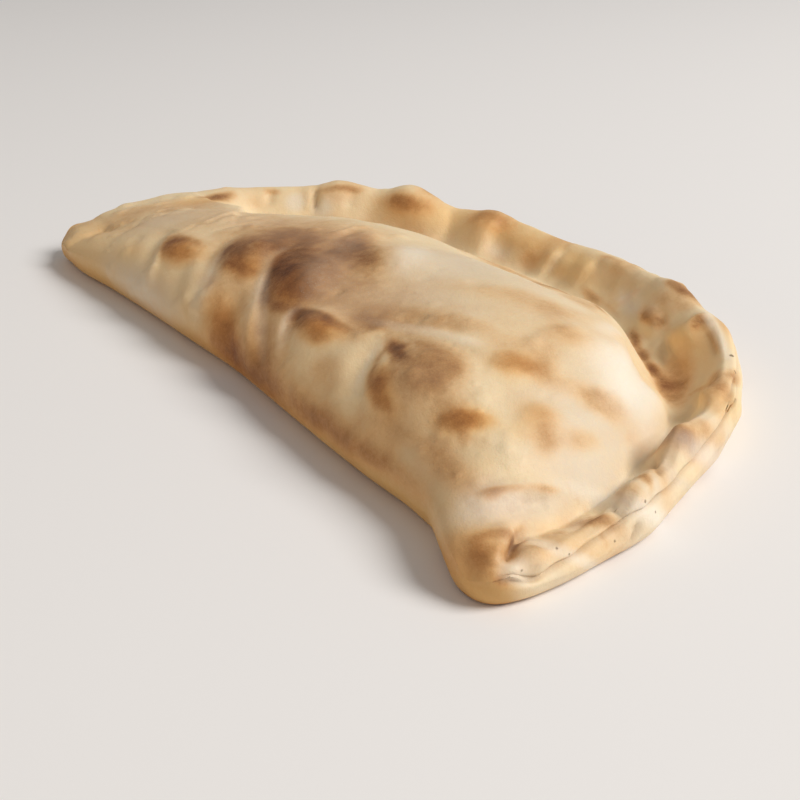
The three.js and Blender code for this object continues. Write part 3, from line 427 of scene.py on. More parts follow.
# browned edges and folds, and painted shade along the valleys: points, strength, radius
TOAST_AND_SHADE_STROKES = [
    ([(-0.8, 18.3, 26.1), (-8.6, 23.1, 28.1), (-14.1, 28.2, 30.4), (-15.1, 32.3, 31.5), (-11.7, 35.3, 32.5)], 0.35, 1.6),
    ([(-0.1, 22.6, 30.1), (-6.5, 26.5, 30.9), (-11.1, 30.6, 31.6)], 0.5, 3),
    ([(1.5, 17.8, 26.3), (7.8, 15.4, 25), (15.3, 15.8, 25.6), (18.7, 18.3, 27)], 0.25, 2.2),
    ([(-32.9, 18.4, 27.9), (-34.7, 21, 29.4), (-33.9, 24.1, 31.1)], 0.5, 2.2),
    ([(-31.2, 17.4, 27.5), (-22.1, 18.2, 28.2), (-15.1, 20.5, 27.9), (-10.4, 23.2, 28.4)], 0.3, 2.2),
    ([(20.7, 15.2, 24.4), (20.5, 17.6, 26.1), (25.6, 19.4, 27.2), (35.8, 20.5, 28.7)], 0.4, 1.2),
    ([(22.4, 16.5, 24.8), (24, 17.3, 25.6)], 0.35, 2),
    ([(74.9, 9.4, 22.2), (71.7, 12.2, 23.8), (68.3, 16.1, 25.9), (64, 21.2, 27.3), (63, 24.6, 28.6)], 0.3, 1.6),
    ([(67.9, 21.8, 28.6), (67.1, 23.8, 29), (69.9, 23.4, 29.6)], 0.26, 2.2),
    ([(77.2, 10, 23.1), (77.2, 11.5, 24.9), (76.2, 13.6, 26.5)], 0.35, 3),
    ([(-63, 10.5, 24.6), (-63.2, 12.7, 25.9), (-60.6, 14.6, 26.9)], 0.35, 1.6),
    # browning with painted shade along the valley at the foot of the far rim
    ([(49.5, 122.9, 8.3), (57.9, 117.8, 7.6), (70.6, 108.7, 9.2), (74.4, 110, 6.9), (82.1, 108, 6.3), (87, 108.3, 5.7)], 0.31, 2.4),
    ([(84.9, 105.7, 6), (87.6, 106.9, 5.6), (90, 107.5, 5.6)], 0.1, 3),
    ([(137.6, 13.6, 10), (142.5, 8.6, 11.3), (144.4, 5.8, 10.9), (145.9, 3.4, 9.9)], 0.75, 1.2),
    ([(149, -2.2, 9.1), (150.1, -1.2, 8.3), (150.8, 0.6, 7)], 0.3, 1.4),
    ([(142.5, -1.9, 13.1), (144.6, -2.7, 11.6), (146.5, -3.6, 9.4)], 0.1, 2),
    ([(144.3, 26.3, 9.8), (142.7, 30.4, 10.4), (142.7, 33.4, 10.3), (143.1, 36.3, 9.9)], 0.3, 1.3),
    ([(141.6, 29, 9.1), (142.1, 30.3, 10.3), (137.8, 36.7, 7.8)], 0.22, 1.5),
    ([(138.4, 39.5, 9.8), (140, 41.7, 12.9), (140.7, 44.5, 14.8), (137.3, 51.5, 14.1), (130, 62.1, 10.9)], 0.2, 2),
    ([(7.6, 144.2, 18.6), (14.4, 144, 19.2), (23.2, 142.6, 19)], 0.3, 1.4),
    ([(50.3, 106.4, 20.7), (57.2, 103.1, 21.8), (62.2, 101.6, 21.8)], 0.35, 1),
    ([(39.2, 136.2, 16.6), (36.2, 134.7, 13.2), (34.2, 131.1, 9.9)], 0.25, 1.1),
    ([(49.4, 127.5, 12.8), (57.1, 123, 13.9), (60.7, 123.2, 14.2)], 0.35, 1.8),
    ([(60.5, 125, 15.3), (62.9, 124.2, 13.8)], 0.3, 0.9),
    ([(78.6, 125.7, 21.9), (79, 123.1, 20.4), (80.5, 120, 18.6)], 0.35, 1.1),
    ([(83.9, 122.9, 19.9), (88.5, 121.1, 18.2), (94.2, 117.9, 17.2)], 0.25, 1.4),
    ([(140.4, 18.5, 9), (141, 21.2, 8.8), (144.3, 21.5, 9.7)], 0.16, 1),
    ([(147.9, 7.6, 12.5), (147.6, 10.2, 12.1), (148, 12.4, 10.9)], 0.16, 1.8),
    ([(98.3, 102, 6.5), (97.3, 107.3, 8.4), (107.7, 102.4, 15.9), (109.9, 107.9, 17)], 0.3, 1.3),
]
# pale ridges beside them
PALE_STROKES = [
    ([(3.1, 12.8, 23.3), (-4.4, 17.6, 25.3), (-10.8, 22.6, 28.2), (-16.7, 28.5, 30.7), (-18.6, 33.8, 31.9)], 0.26, 1.5),
    ([(-27.6, 10.2, 21.7), (-32.5, 14.3, 24.4), (-36, 18.6, 27.3), (-37.7, 23.3, 30)], 0.18, 1.5),
    ([(-58.3, 3.3, 18.9), (-61.9, 6.5, 21.9), (-64.7, 10.4, 24.4)], 0.14, 1.3),
    ([(24.6, 9.9, 20.5), (20.4, 13.4, 23.5), (19.3, 16.3, 25.6), (20.4, 18.8, 27)], 0.28, 1.3),
    ([(71, 8.1, 19.9), (67.7, 11.4, 22), (63.8, 16, 24.3), (60.5, 20.7, 26.4), (60.1, 24.5, 28.6)], 0.25, 1.5),
    ([(149.4, -0.1, 9.8), (150.2, 2, 10.5), (150.3, 4.2, 10.3)], 0.5, 1.6),
    ([(149.4, -0.8, 9.4), (150.9, 0.6, 8.9), (151.1, 3.4, 7.5), (150.1, 8, 6)], 0.5, 1),
    ([(121.2, 60.3, 10.6), (118.8, 65.6, 10.2), (116.3, 71.5, 9.5), (113.7, 76.8, 9.9)], 0.35, 3),
    ([(142.7, 22.9, 9.3), (139.5, 28.2, 7.9), (137.7, 32, 7.6)], 0.25, 2.2),
    ([(134.2, 6, 15.6), (132.7, 11.2, 15.6), (132.4, 15.7, 15.4), (132.1, 21.2, 14.5)], 0.4, 2),
]
# browned, pale and floury places: centre, two half axes, strength, softness
TOAST_AND_SHADE = [
    (39.6, 48.7, 34.2, 68, 19.2, 2.7, -34.9, 27.5, 2.8, .12, 1.0),
    (5.2, 37.8, 33.5, 22.2, 27.9, -1.2, -36, 21.1, 1.1, .07, 1.0),
    (84.5, 52.1, 32.6, 25, 15.3, -4.3, -18.8, 19.1, 4.4, .04, 1.0),
    (-8.1, 34.1, 32.7, 16.9, 15.8, 4, -30.9, 15.4, -1.2, .68, 1.0),
    (-97.8, 19.1, 23.3, 28.2, 24.4, 11.7, -26.6, 9.1, -3.1, .07, 1.0),
    (-78.3, 36.6, 29.2, 18.9, 14.7, 3.9, -16.8, 7.3, -2.1, .22, 1.0),
    (145, 3.4, 12.5, -13.2, 33.1, -20.1, -4.3, 3.9, 3.3, .24, 1.0),
    (143, 32.7, 10.1, 8.4, 6.4, -4.5, -1.9, 3.4, 0.9, .13, 1.0),
    (130, 74.1, 16, -0.7, 13.6, -13.4, -3.7, 7.2, -0.6, .40, 1.0),
    (-3.8, 25.8, 31.1, -6.2, 4.6, 0.8, -16.8, 1.7, -2.8, .46, .9),
    (7.2, 25.4, 32.4, -2.9, 9.6, 3.7, -16.7, 2.9, 1.3, .33, .6),
    (-27.8, 21.1, 30.4, 0.6, 4.8, 2.8, -8.2, 1.8, 0.4, .43, .9),
    (-23.5, 24.9, 32.1, 5.6, 9.2, 2, -10.6, 4, 2.6, .18, .6),
    (-24.8, 40, 33, 4.8, 9.3, 0.7, -8.2, 4, 1, .39, .9),
    (-16.4, 20.6, 28.4, 6.3, 4.4, -0.2, -2.6, 1.7, 1.6, .09, 1.0),
    (-61.5, 12.5, 26.1, 2.1, 3.4, 1.8, -9, 2.5, 0.1, .27, .9),
    (-56, 12.6, 26.4, 6.4, 5.2, 2.3, -9.5, 3.2, 1.9, .46, .6),
    (28, 15.7, 26.3, 3.5, 1.4, 2, -6.8, 2.9, -0.7, .38, .8),
    (34.1, 15.5, 27.2, 9.2, 2.1, 1.3, -5.3, 3.8, 1.7, .33, .7),
    (35.5, 18.9, 28.1, 4.8, 1.2, 0.1, -3.4, 3, 0.6, .30, .9),
    (39.9, 13.8, 25.4, 2.9, 1.5, 0.7, -2.2, 1.1, 1.5, .24, .9),
    (6.2, 50.1, 34.9, 14.7, -5.9, 0.6, -1.3, 4.9, 0.9, .21, .8),
    (-4.5, 50.5, 33.9, -0.2, 7.2, 0.5, -7.5, 3.4, -0, .80, 1.0),
    (29.1, 29.2, 29.9, 18.3, 9.4, 2.3, -12.3, 7.9, 2.5, .10, .9),
    (52, 32.4, 31, 12.7, 6.7, 1.7, -5.9, 4.1, 1.3, .30, .8),
    (47.3, 24.5, 28.7, 3.9, 6, 1.4, -5.7, 2.6, 0.6, .43, .9),
    (86.1, 17.4, 30.2, 11.7, 6.8, 1.6, -8.6, 6.3, 4, .35, .5),
    (76.8, 11.2, 24.5, 2.4, 1.2, 1.6, -9.4, 3, 3, .39, .8),
    (69.7, 22.5, 29.3, 6.5, -0.7, 1.8, -5.7, 4.1, -0.3, .78, .8),
    (82.9, 9.5, 22.6, 4.4, 0.2, 0, -0.1, 1.4, 1.7, .27, .8),
    (78, 22.5, 31.2, 3.3, 1.4, 0.9, -4.1, 2.7, 0.3, .17, .9),
    (87.2, 28, 32.2, 1.7, 4, -0.3, -8.3, 5.7, 0.4, .15, .8),
    (77.2, 27.8, 31.6, 11.2, 1.9, 2.6, -4.8, 3.3, -1, .41, .9),
    (86.7, 17.9, 30.4, 5.7, 4.2, 0.5, -4.3, 3.2, 1.9, .30, .7),
    (87.1, 24.4, 31.9, 5.6, 3.6, 0.5, -4.3, 3.2, 1.1, .12, .8),
    (8, 49, 34.9, 9.9, -3.7, 0.1, -0.9, 4.3, 1, .22, .8),
    (108, 17.1, 25.5, 4.9, 4.8, 1.1, -2.7, 1.7, 1.5, .56, .7),
    (103, 17.3, 26.3, 4.3, 4.2, 1.2, -2.6, 1.6, 0.2, .21, 1.0),
    (112, 15, 23.4, 1.4, 1.1, 0.2, -2.2, 1.5, 1.6, .20, .8),
    (-35.2, 130, 8.3, 5.2, 0.9, -0.8, -1.4, 1.6, 0.9, .12, .8),
    (-120, 75.2, 16.9, 2.1, 4.6, -0.2, -1.9, 1.4, 2.7, .14, .8),
    (128, 27.7, 18, 1.7, 11, -4, -2.8, 2.9, 2.4, .04, .9),
    (114, 74.6, 12.4, -2.1, 6.9, -2.5, -1.5, 0.7, 3.4, .05, .9),
    (112, 14.5, 23.2, 6.3, 3.7, 0.6, -1.6, 1.5, 1.5, .10, .9),
    (15.7, 4.1, 14.8, 4, 2.1, 1, -3.4, 1.8, 3, .08, .9),
    (72.4, 42.7, 34, 6.7, 4, 0.3, -3.7, 2.9, 1.1, .21, .8),
    (61.1, 41.6, 33.9, 3.7, 5.5, 0.7, -6.4, 3.9, -0.1, .10, 1.0),
    (54.3, 60.5, 35, 5.5, 6.8, -0.5, -3.7, 2.8, -0.3, .09, .9),
    (63.6, 68.2, 34.1, 8.2, 5.5, -1.1, -5.5, 4.8, -0.4, .22, .9),
    (73.5, 72.8, 32.5, 3.8, 3.9, -1.3, -5.3, 5, -0.4, .24, 1.0),
    (95.9, 40.8, 31.6, 2.1, 4, -0.2, -4, 2.7, 1.6, .33, .8),
    (98.1, 49.2, 30.1, -0, 5.2, -1, -5.3, 3.8, 0.9, .28, .9),
    (104, 49.4, 27.7, 3.3, 6, -2.8, -2.9, 3.2, 0.9, .20, 1.0),
    (88.3, 49.1, 31.9, 4.9, 6.2, -0.7, -3.7, 3.1, 0.5, .20, 1.0),
    (90.4, 64.5, 32.3, 4.5, 5.6, -1.9, -3.5, 3.4, 0.7, .19, .7),
    (86.3, 64, 33.2, 4.1, 1.4, 0.2, -2.6, 2.3, -0.4, .19, 1.0),
    (115, 35.1, 25.7, 2.4, 3.7, -0.8, -2.7, 2.5, 1, .13, .8),
    (122, 32.1, 21.9, -0.9, 4.7, -0.2, -3.6, 0.9, 2.2, .29, .8),
    (122, 43.8, 18.9, -0.1, 7.3, -2.8, -3.1, 3.1, 1.3, .26, .8),
    (118, 34.7, 24, 1.2, 5.2, -0.9, -4.7, 3.4, 2.7, .11, 1.0),
    (112, 59.9, 21.5, 3.1, 6.7, -4.5, -3, 4.6, 1.2, .36, .7),
    (131, 15.1, 17.8, 1.2, 6.2, -0.7, -0.9, 0.7, 0.5, .37, .9),
    (132, 24.8, 15.4, 0.9, 4.1, -1.5, -0.5, 0.6, 0.8, .33, .9),
    (131, 10.7, 17.5, -0.1, 2.4, 0.5, -1.1, -0.3, 0.8, .27, 1.0),
    (143, -2.1, 12.7, 2.9, 2.2, 0.7, -2.2, 1.5, 1.9, .19, .8),
    (145, -3.9, 9.7, 2.6, 1.2, 0.9, -1.1, 0.9, 2.1, .12, .9),
    (142, 4, 14.7, 2.3, 5.6, -0.6, -1.3, 1.1, 0.3, .29, .8),
    (149, 8.2, 12.7, 3.1, 2.6, -0.2, -2.7, 2.7, 0.6, .07, .7),
    (143, 31.9, 10.2, 3.5, 4.7, -2.1, -1.2, 1.7, 0.5, .34, 1.0),
    (144, 43.8, 13.6, 3.4, 1.6, -1.9, -0.6, 2.4, 1, .24, 1.0),
    (136, 57.2, 12.2, 7.7, -3, 0.7, -1.8, 3.7, -0.1, .30, 1.0),
    (132, 69.5, 16.5, 1.8, 5, -5.2, -1, 3.5, 0.8, .55, 1.0),
    (127, 81.3, 15.6, 1.2, 2.7, -3.1, -1.6, 3.3, -0.1, .20, .9),
    (126, 88.4, 11.9, -0.3, 3.3, -0.4, -6.2, 3.2, 4.1, .16, .9),
    (117, 101, 14.2, 3.7, -2.9, 2.3, -12.1, 11.9, -4.3, .05, .9),
    (132, 75, 9, -2, 4.7, 0.2, -0.5, -2.5, 2.3, .10, 1.0),
    (114, 99.2, 18, 3.9, 0.8, -0.8, -2.7, 4.1, 0.2, .48, .8),
    (113, 94.3, 16.8, 9.6, -4, 0.9, -0.2, 2.7, 2, .18, .8),
    # along the valley at the foot of the far rim: browning with painted shade
    (87.1, 107, 5.6, 2.2, 5.1, -0.5, -9, 8.2, 1.3, .50, .7),
    (98.3, 99.6, 6, 5, -1.6, 0.9, -3.7, 5.1, -0.1, .18, .9),
    (19.9, 132, 8.5, 6.4, -1.6, 0.2, -0.6, 1.8, 0.8, .40, .8),
    (34.4, 129, 8.4, 7.4, -2, -0.7, -0.3, 1, 0.5, .14, .8),
    (57.1, 119, 7.9, 1.1, 1, 0.5, -5.1, 3.3, 0.8, .53, .8),
    (67.6, 113, 7.5, 0.1, 1.9, 0.4, -5, 2.6, 0.3, .61, .8),
    (76.1, 109, 6.6, 3.2, -0.6, -0.6, -1.1, 2.4, 0.2, .58, .8),
    (83.1, 107, 6.2, 3.9, -0.6, -0.2, -1.4, 2.7, 0.3, .38, .8),
    (56.2, 125, 15.3, 9.1, -3.1, 1.9, -2.4, 3, 1.2, .39, .8),
    (62.3, 124, 14, 0.1, 3.3, 1.9, -1.4, -0.1, 0.6, .17, .9),
    (67.2, 130, 20.1, 2.8, 0.8, 0.6, -1.6, 1.6, 0.8, .17, .9),
    (79.5, 124, 20.3, 1.6, 2.5, -0.1, -2.4, 2.3, 1.6, .38, .8),
    (57.7, 130, 19.2, 7.6, -1.2, 0.2, -0.7, 2.1, 2, .06, 1.0),
    (55.9, 136, 22.8, 6, -0.4, -0.2, -1.5, 2.5, 0.6, .42, .5),
    (109, 110, 16.2, -4, 5.3, -2.7, -1.6, 1.5, 1.5, .53, 1.0),
    (-1.8, 135, 10.6, 5.5, 0.6, 0.1, -0.7, 1.6, 2.6, .11, .8),
    (-18.9, 138, 13.8, 11.3, 0.8, 0.2, -2.4, 3.2, 2.1, .09, .8),
    (-18, 134, 10.3, 4.1, 1.1, 0.8, -3.2, 1.9, 2.5, .21, .8),
    (-45.2, 135, 20.6, 9.3, 3.8, -0.5, -3.3, 2.8, 1.5, .29, .8),
    (-43.7, 128, 14.3, 8.1, 2.4, -0.6, -0.2, 2.3, 4, .07, .8),
    (-77.2, 117, 21.2, 10.1, 5.3, -0, -1.5, 1.9, 3.5, .32, .8),
    (-79.8, 116, 21.5, 4.6, 2.3, 0.9, -1.6, 0.8, 1.7, .30, .9),
    (-102, 102, 23.4, 4.3, 6.4, -0.4, -1.2, 0.6, 1.1, .42, .9),
    (-126, 58.3, 20.2, 0.8, 6.7, 0.1, -3.4, 1.5, 0.6, .60, .8),
    (-121, 81, 20.4, 2.1, 2.3, 0, -0.9, 0.3, 1.3, .37, 1.0),
    (-127, 64.8, 20.5, 0.8, 2.3, -0.2, -1.7, 0.9, 0.6, .12, 1.0),
    (-128, 18.5, 17.4, 1.9, 9, 3.9, -10.6, 2.3, 0.2, .13, .8),
    (-125, 8.8, 13.7, 29.2, -8.7, 9.5, 8.9, -3, 2.9, .07, .9),
    (-126, 28.3, 20.3, -1, 11.7, 1, -8.3, 2.7, -0.6, .16, 1.0),
    (-114, 41.8, 22.2, 6.4, 14.1, 1, -10.2, 4.3, -1.3, .25, 1.0),
    (-5.2, 5.8, 13.4, 4.6, 2.9, 2.8, -10.4, 1.2, 6.3, .42, .9),
    (141, 40.8, 12, 3.9, -0.1, -0.8, 0.2, 0.7, 0.8, .37, .9),
    (139, 50, 14.2, 4.3, -0.7, -0.7, -1.1, 2.1, -0.2, .37, .9),
    (141, 31, 9.9, -5.5, 5.5, -4.6, 1.9, -1.5, 1.7, .18, .9),
    (-16.9, 7.7, 19.8, 1.5, 1.9, 1.2, -10.6, 2, 4.9, .10, .9),
    (54.5, 9.3, 20.8, 4.8, 1.1, 1.4, -5, 2.8, 2.3, .15, .9),
    (17.4, 3.1, 8.6, 30.4, 0.6, 0.6, 9.1, -2.2, 6.6, .54, 1.0),
    (68.3, 2, 11, 25.7, -0.7, 0.4, 3.4, 0.4, 4.1, .48, 1.0),
    (102, 3.1, 11.4, 17.2, -0.3, -1.1, 2.5, 0.8, 3.5, .27, 1.0),
    (94.1, 8, 19.4, 14.3, 1.4, 1, -0.8, 2.5, 3.2, .32, 1.0),
    (117, 7.6, 18.4, 12.4, 0.2, 0.8, -1.8, 3.4, 2.1, .33, 1.0),
    (16.3, 10, 19.3, 5.3, 0.4, 1.7, -2.4, 1.3, 1.5, .09, 1.0),
    (-30.2, 10.7, 22.1, -1.9, 2.3, 1.5, -11, -0.2, -0.3, .15, 1.0),
]
PALE = [
    (1.6, 15.7, 24.1, 3.7, 0.4, 0.6, -20.7, 13.8, 4.3, .21, .6),
    (25, 11.1, 21.1, 2.7, 0.4, 0.1, -4.5, 4.4, 2.9, .16, .6),
    (-27.6, 9.7, 21.4, 5.4, 0.1, 0.3, -5.5, 7.9, 6.1, .24, .7),
    (64.8, 32.6, 31.7, 16.9, 4.7, 2.5, -2.4, 1.8, 0.1, .20, .5),
    (81.4, 37.6, 33, 3.1, 2.4, -0.2, -2.5, 2.1, 0.1, .20, .7),
    (114, 73, 13.8, -1.7, 5.1, 0.1, -3.2, -1.6, 5, .20, .8),
    (96.3, 72.2, 27.6, 2, 4.8, -3.4, -5.5, 7.2, 0.1, .50, .8),
    (150, 23.1, 4.8, -1.7, 11.5, -9.2, -0.4, 1, 1.2, .62, .8),
    (152, 7.6, 4.1, -0.4, 5.8, -2.7, 0.3, -0.4, 1.3, .25, .8),
    (99.4, 28.4, 29.8, 1.8, 5.5, -0.5, -5.4, 3.8, 1.1, .05, .7),
    (80.4, 87.9, 26, -2.2, 7.6, -4.4, -5.8, 5.6, -2, .50, .8),
    (43.2, 132, 14.8, 10.8, -4.9, 1.6, 0.7, 1.2, 2.3, .28, .8),
    (15.3, 139, 14.2, 6.3, 0.3, -0.6, -0.3, 1.6, 2.4, .40, .8),
    (-100, 98.5, 19.4, 4, 4.5, 0.2, -1, 0.9, 2, .15, .8),
    (102, 77.3, 20.7, -8.4, 12.8, -3.3, -8.3, -0.4, 7, 1.00, .7),
    (17, 60.4, 36, -1.7, 7.7, -1.7, -11.7, 7.4, -1.4, .50, .8),
    (-112, 86.5, 17.3, 2.3, 3.3, 0.2, -2.2, 1.3, 3.1, .74, .6),
    (-103, 93.9, 15.9, 3.5, 2.4, 0.7, -1.7, 0.8, 3, .70, .7),
    (-7.2, 137, 12.9, 1.8, 0.5, -0.7, 0.1, 2.4, 3.4, .53, .7),
    (39.4, 133, 12.5, 6.4, -1.6, 2.3, -5, 4.1, 2, .92, .7),
    (-35.8, 133, 10.3, 6.2, 1.8, -0.7, -1.2, 2.5, 2.8, .65, .8),
    (150, 2.8, 10.6, 2.6, 2.5, -0.7, -1.3, 1.9, 0.6, .43, .7),
    (151, 14.7, 3.5, -7.6, 21.1, -17.5, 0.5, 0.5, 1.6, .07, .7),
    (144, 50.8, 4.9, -10.2, 21.7, -19.5, -1.9, 4, -0.1, .80, .7),
    (129, 82.3, 6.8, -5.1, 9.4, -2.3, 7.7, -11.5, 9.5, .76, .8),
    (86.9, 123, 20.4, 0.9, 1.2, 0.7, -12.4, 6.4, 3.4, .90, .7),
]
VEIL = [
    (12, 34, 32.9, 2.6, 7.5, -0.6, -14.3, 7.9, 2.4, .72, .6),
    (33.1, 32, 30.6, 13.1, 9.1, 2.3, -12.1, 7.2, 2, .75, .7),
    (-28.2, 44.9, 33.3, 12.5, 15.8, 1.5, -9.5, 4.9, -0.4, .43, .7),
    (86.9, 15.4, 28.8, 10.5, 5.2, 2.6, -3.8, 2.4, 3, .18, .7),
    (-11, 52.2, 33.9, 5.1, 8.4, -0, -12.6, 7.3, 0.3, .74, .8),
    (84.7, 65.2, 32.9, 15.7, 7.2, -1.6, -11.2, 11, -0.8, .18, .8),
    (-110, 44.4, 22.9, 9.4, 8.3, 2, -6.8, 2.8, -0.9, .52, .8),
    (144, 44, 13.4, 2.2, 1.4, -1.9, -0.6, 1.8, 0.8, .07, .7),
    (135, 61.3, 12.1, 5, -1.4, -0.3, -2.1, 3.8, -0.5, .75, .7),
    (132, 71.7, 15.7, -1.6, 5.7, -4.9, -2.1, 4.1, -0.2, .25, .7),
    (135, 68.7, 6.9, -0.9, 3.6, -1.4, -0.5, 0.1, 2, .12, .8),
    (132, 11.5, 16.1, 2.3, 12.7, -2.5, -3.8, 2.5, 3.9, .75, .8),
    (-52.6, 43.8, 30.6, 9.9, 14.6, 1.1, -8, 4, -0.5, .75, .7),
]
FLOURY = [
    (116, 54.3, 19.5, 4.3, 19.5, -10.1, -13, 17, 6.1, .92, .9),
    (63.4, 84.4, 29.8, 12.4, 14.8, -7, -17.8, 15.8, -5.8, .13, .9),
    (38.2, 80.9, 31.9, 23.9, 6.5, -1.6, -13.5, 10.9, -3.6, .43, .9),
    (26.1, 64.9, 34.7, 10, 11.3, -2.6, -15.8, 11.7, -0.8, .92, .9),
    (94.9, 67.8, 29.9, 5.8, 13.6, -7.5, -8.8, 10.8, 1.9, .23, .9),
    (51.4, 44.6, 33.9, 21, 5.6, 2.4, -11.9, 8.8, 0.2, .60, .9),
    (133, 16.3, 13.9, -3.4, 14.8, -6.6, -3.5, 2.8, 1.9, .92, .9),
    (130, 43.7, 11.3, 1.7, 13.4, -10, -3.9, 6.2, 1.5, .92, .9),
    (-83.6, 31, 28, 14.6, 13.1, 3.5, -10.7, 4.4, -0.9, .92, .9),
    (-74, 46.3, 28.4, 1, 8.4, -0.7, -8.4, 4, -0.5, .13, .9),
    (-89.2, 15.6, 23.8, 5.4, 12.6, 4.5, -13.2, 4.1, -1, .13, .9),
    (151, 14.7, 4.2, -5.8, 19.5, -14.8, 1.1, 0.1, 3.4, .44, .9),
    (146, 39.7, 3.8, 0.6, 11.8, -10.7, -1.4, 3.6, 1.2, .58, .9),
    (134, 70.4, 3.1, 17.6, -19, 14.1, -7.6, 9.3, -5.2, .64, .9),
    (126, 89.5, 9, -4.6, 8.6, -3.1, 7.8, -14, 15.7, .67, .9),
    (73.6, 39.8, 33.1, 9.9, 2.8, 1.2, -5.7, 4.7, 1.2, .08, .9),
    (140, 50.4, 13.9, 9.8, 1, -3, -4.3, 7.5, -0.7, .81, .9),
    (129, 77.4, 15.8, 1.7, 7.8, -8.3, -2.8, 6.3, 0.2, .35, .9),
    (-62.1, -0.1, 11.2, 24.8, 3.7, -1.8, 4.6, 1.8, 5.8, .92, .9),
    (115, 6.5, 17.5, 15.2, -1.2, 1, -0.4, 3.6, 3.2, .20, .9),
    (131, 6.9, 16.8, 4.4, 1.7, -1, -3.5, 5.9, 2.6, .92, .9),
    (-23.6, 28.6, 32.8, 1.3, 2.8, -0.1, -5.4, 2.6, 1.6, .10, .9),
]
# golden tint: partly the crust's colour, partly painted warm bounce light on the shaded fold wall and far rim
GOLD_AND_WARM_BOUNCE = [
    (-3.8, 25.8, 31.1, -6.8, 5, 0.9, -16.8, 1.7, -2.8, .80, .8),
    (5.8, 139, 16.1, 8.6, -1.3, 0.8, -2.7, 3.3, 1.4, .55, .8),
    (-81.9, 4.8, 19.3, 6.1, 2.9, 1.1, -5.2, 2.1, 1.9, .30, .9),
    (118, 27.4, 24.2, 1.2, 3.8, -0.4, -3.3, 2.5, 1.1, .40, .8),
    (-67.4, 122, 17.3, 15.3, 17.5, -4, -2.5, 3.6, 5.9, .51, .9),
    (-34.2, 137, 15.5, 25.5, 4.9, -0.7, -3.3, 4.7, 5.8, .61, .9),
    (3.7, 137, 14.3, 34.4, -6.3, 3.5, -4, 6.4, 5.3, .51, .9),
    (82.3, 118, 15.1, 9.8, 0.1, -2.8, 3.4, 6.7, 10.5, .46, .9),
    (-119, 47.6, 21.8, 3.7, 9.4, 0.7, -9.3, 3.8, -0, .60, .7),
    (10.3, 19.3, 28.6, 3.8, 3.1, 2.3, -7.7, 2.1, 2.1, .90, .9),
    (-18.6, 19.7, 28.6, 7.8, 3.9, 0.3, -3.6, 2.7, 2.6, .80, .9),
    (-54.3, 11.6, 25.7, 8.6, 4.5, 1.5, -5.2, 2.5, 2.4, .86, .9),
    (37.5, 16.2, 27.4, 7, 3.3, 0.6, -4.9, 3.7, 2, .92, .9),
    (79.7, 11.4, 24.8, 4.3, 1.5, 1.9, -8.3, 3.6, 3.4, .92, .9),
    (-4.8, 6.4, 14.1, 6, 3.2, 3.3, -11.8, 2, 6.5, .70, .9),
    (144, -2.4, 12.1, 4.8, 3.3, 1.4, -3.8, 2.4, 3.9, .28, .9),
    (-74.7, 118, 20.9, 13, 9.6, -0.5, -2.9, 2.3, 4.6, .39, .9),
    (111, 94.7, 14.9, 17.1, -13.3, 7.4, 5.4, -2.9, 6, .48, .9),
    (75.8, 119, 16.8, 7.7, -2, 3, -3.4, 2.8, 2.3, .43, .9),
    (96.9, 41.6, 31.4, 2.9, 6, -0.2, -5.2, 3.6, 2, .71, .9),
    (90.4, 64.5, 32.3, 5.4, 6.9, -2.3, -4.6, 4.6, 0.9, .18, .9),
    (115, 35.3, 25.5, 3.1, 5, -1.1, -3.8, 3.6, 1.5, .59, .9),
    (109, 18.5, 25.7, 4.9, 5.5, 0.5, -3.3, 2.3, 1.9, .92, .9),
]
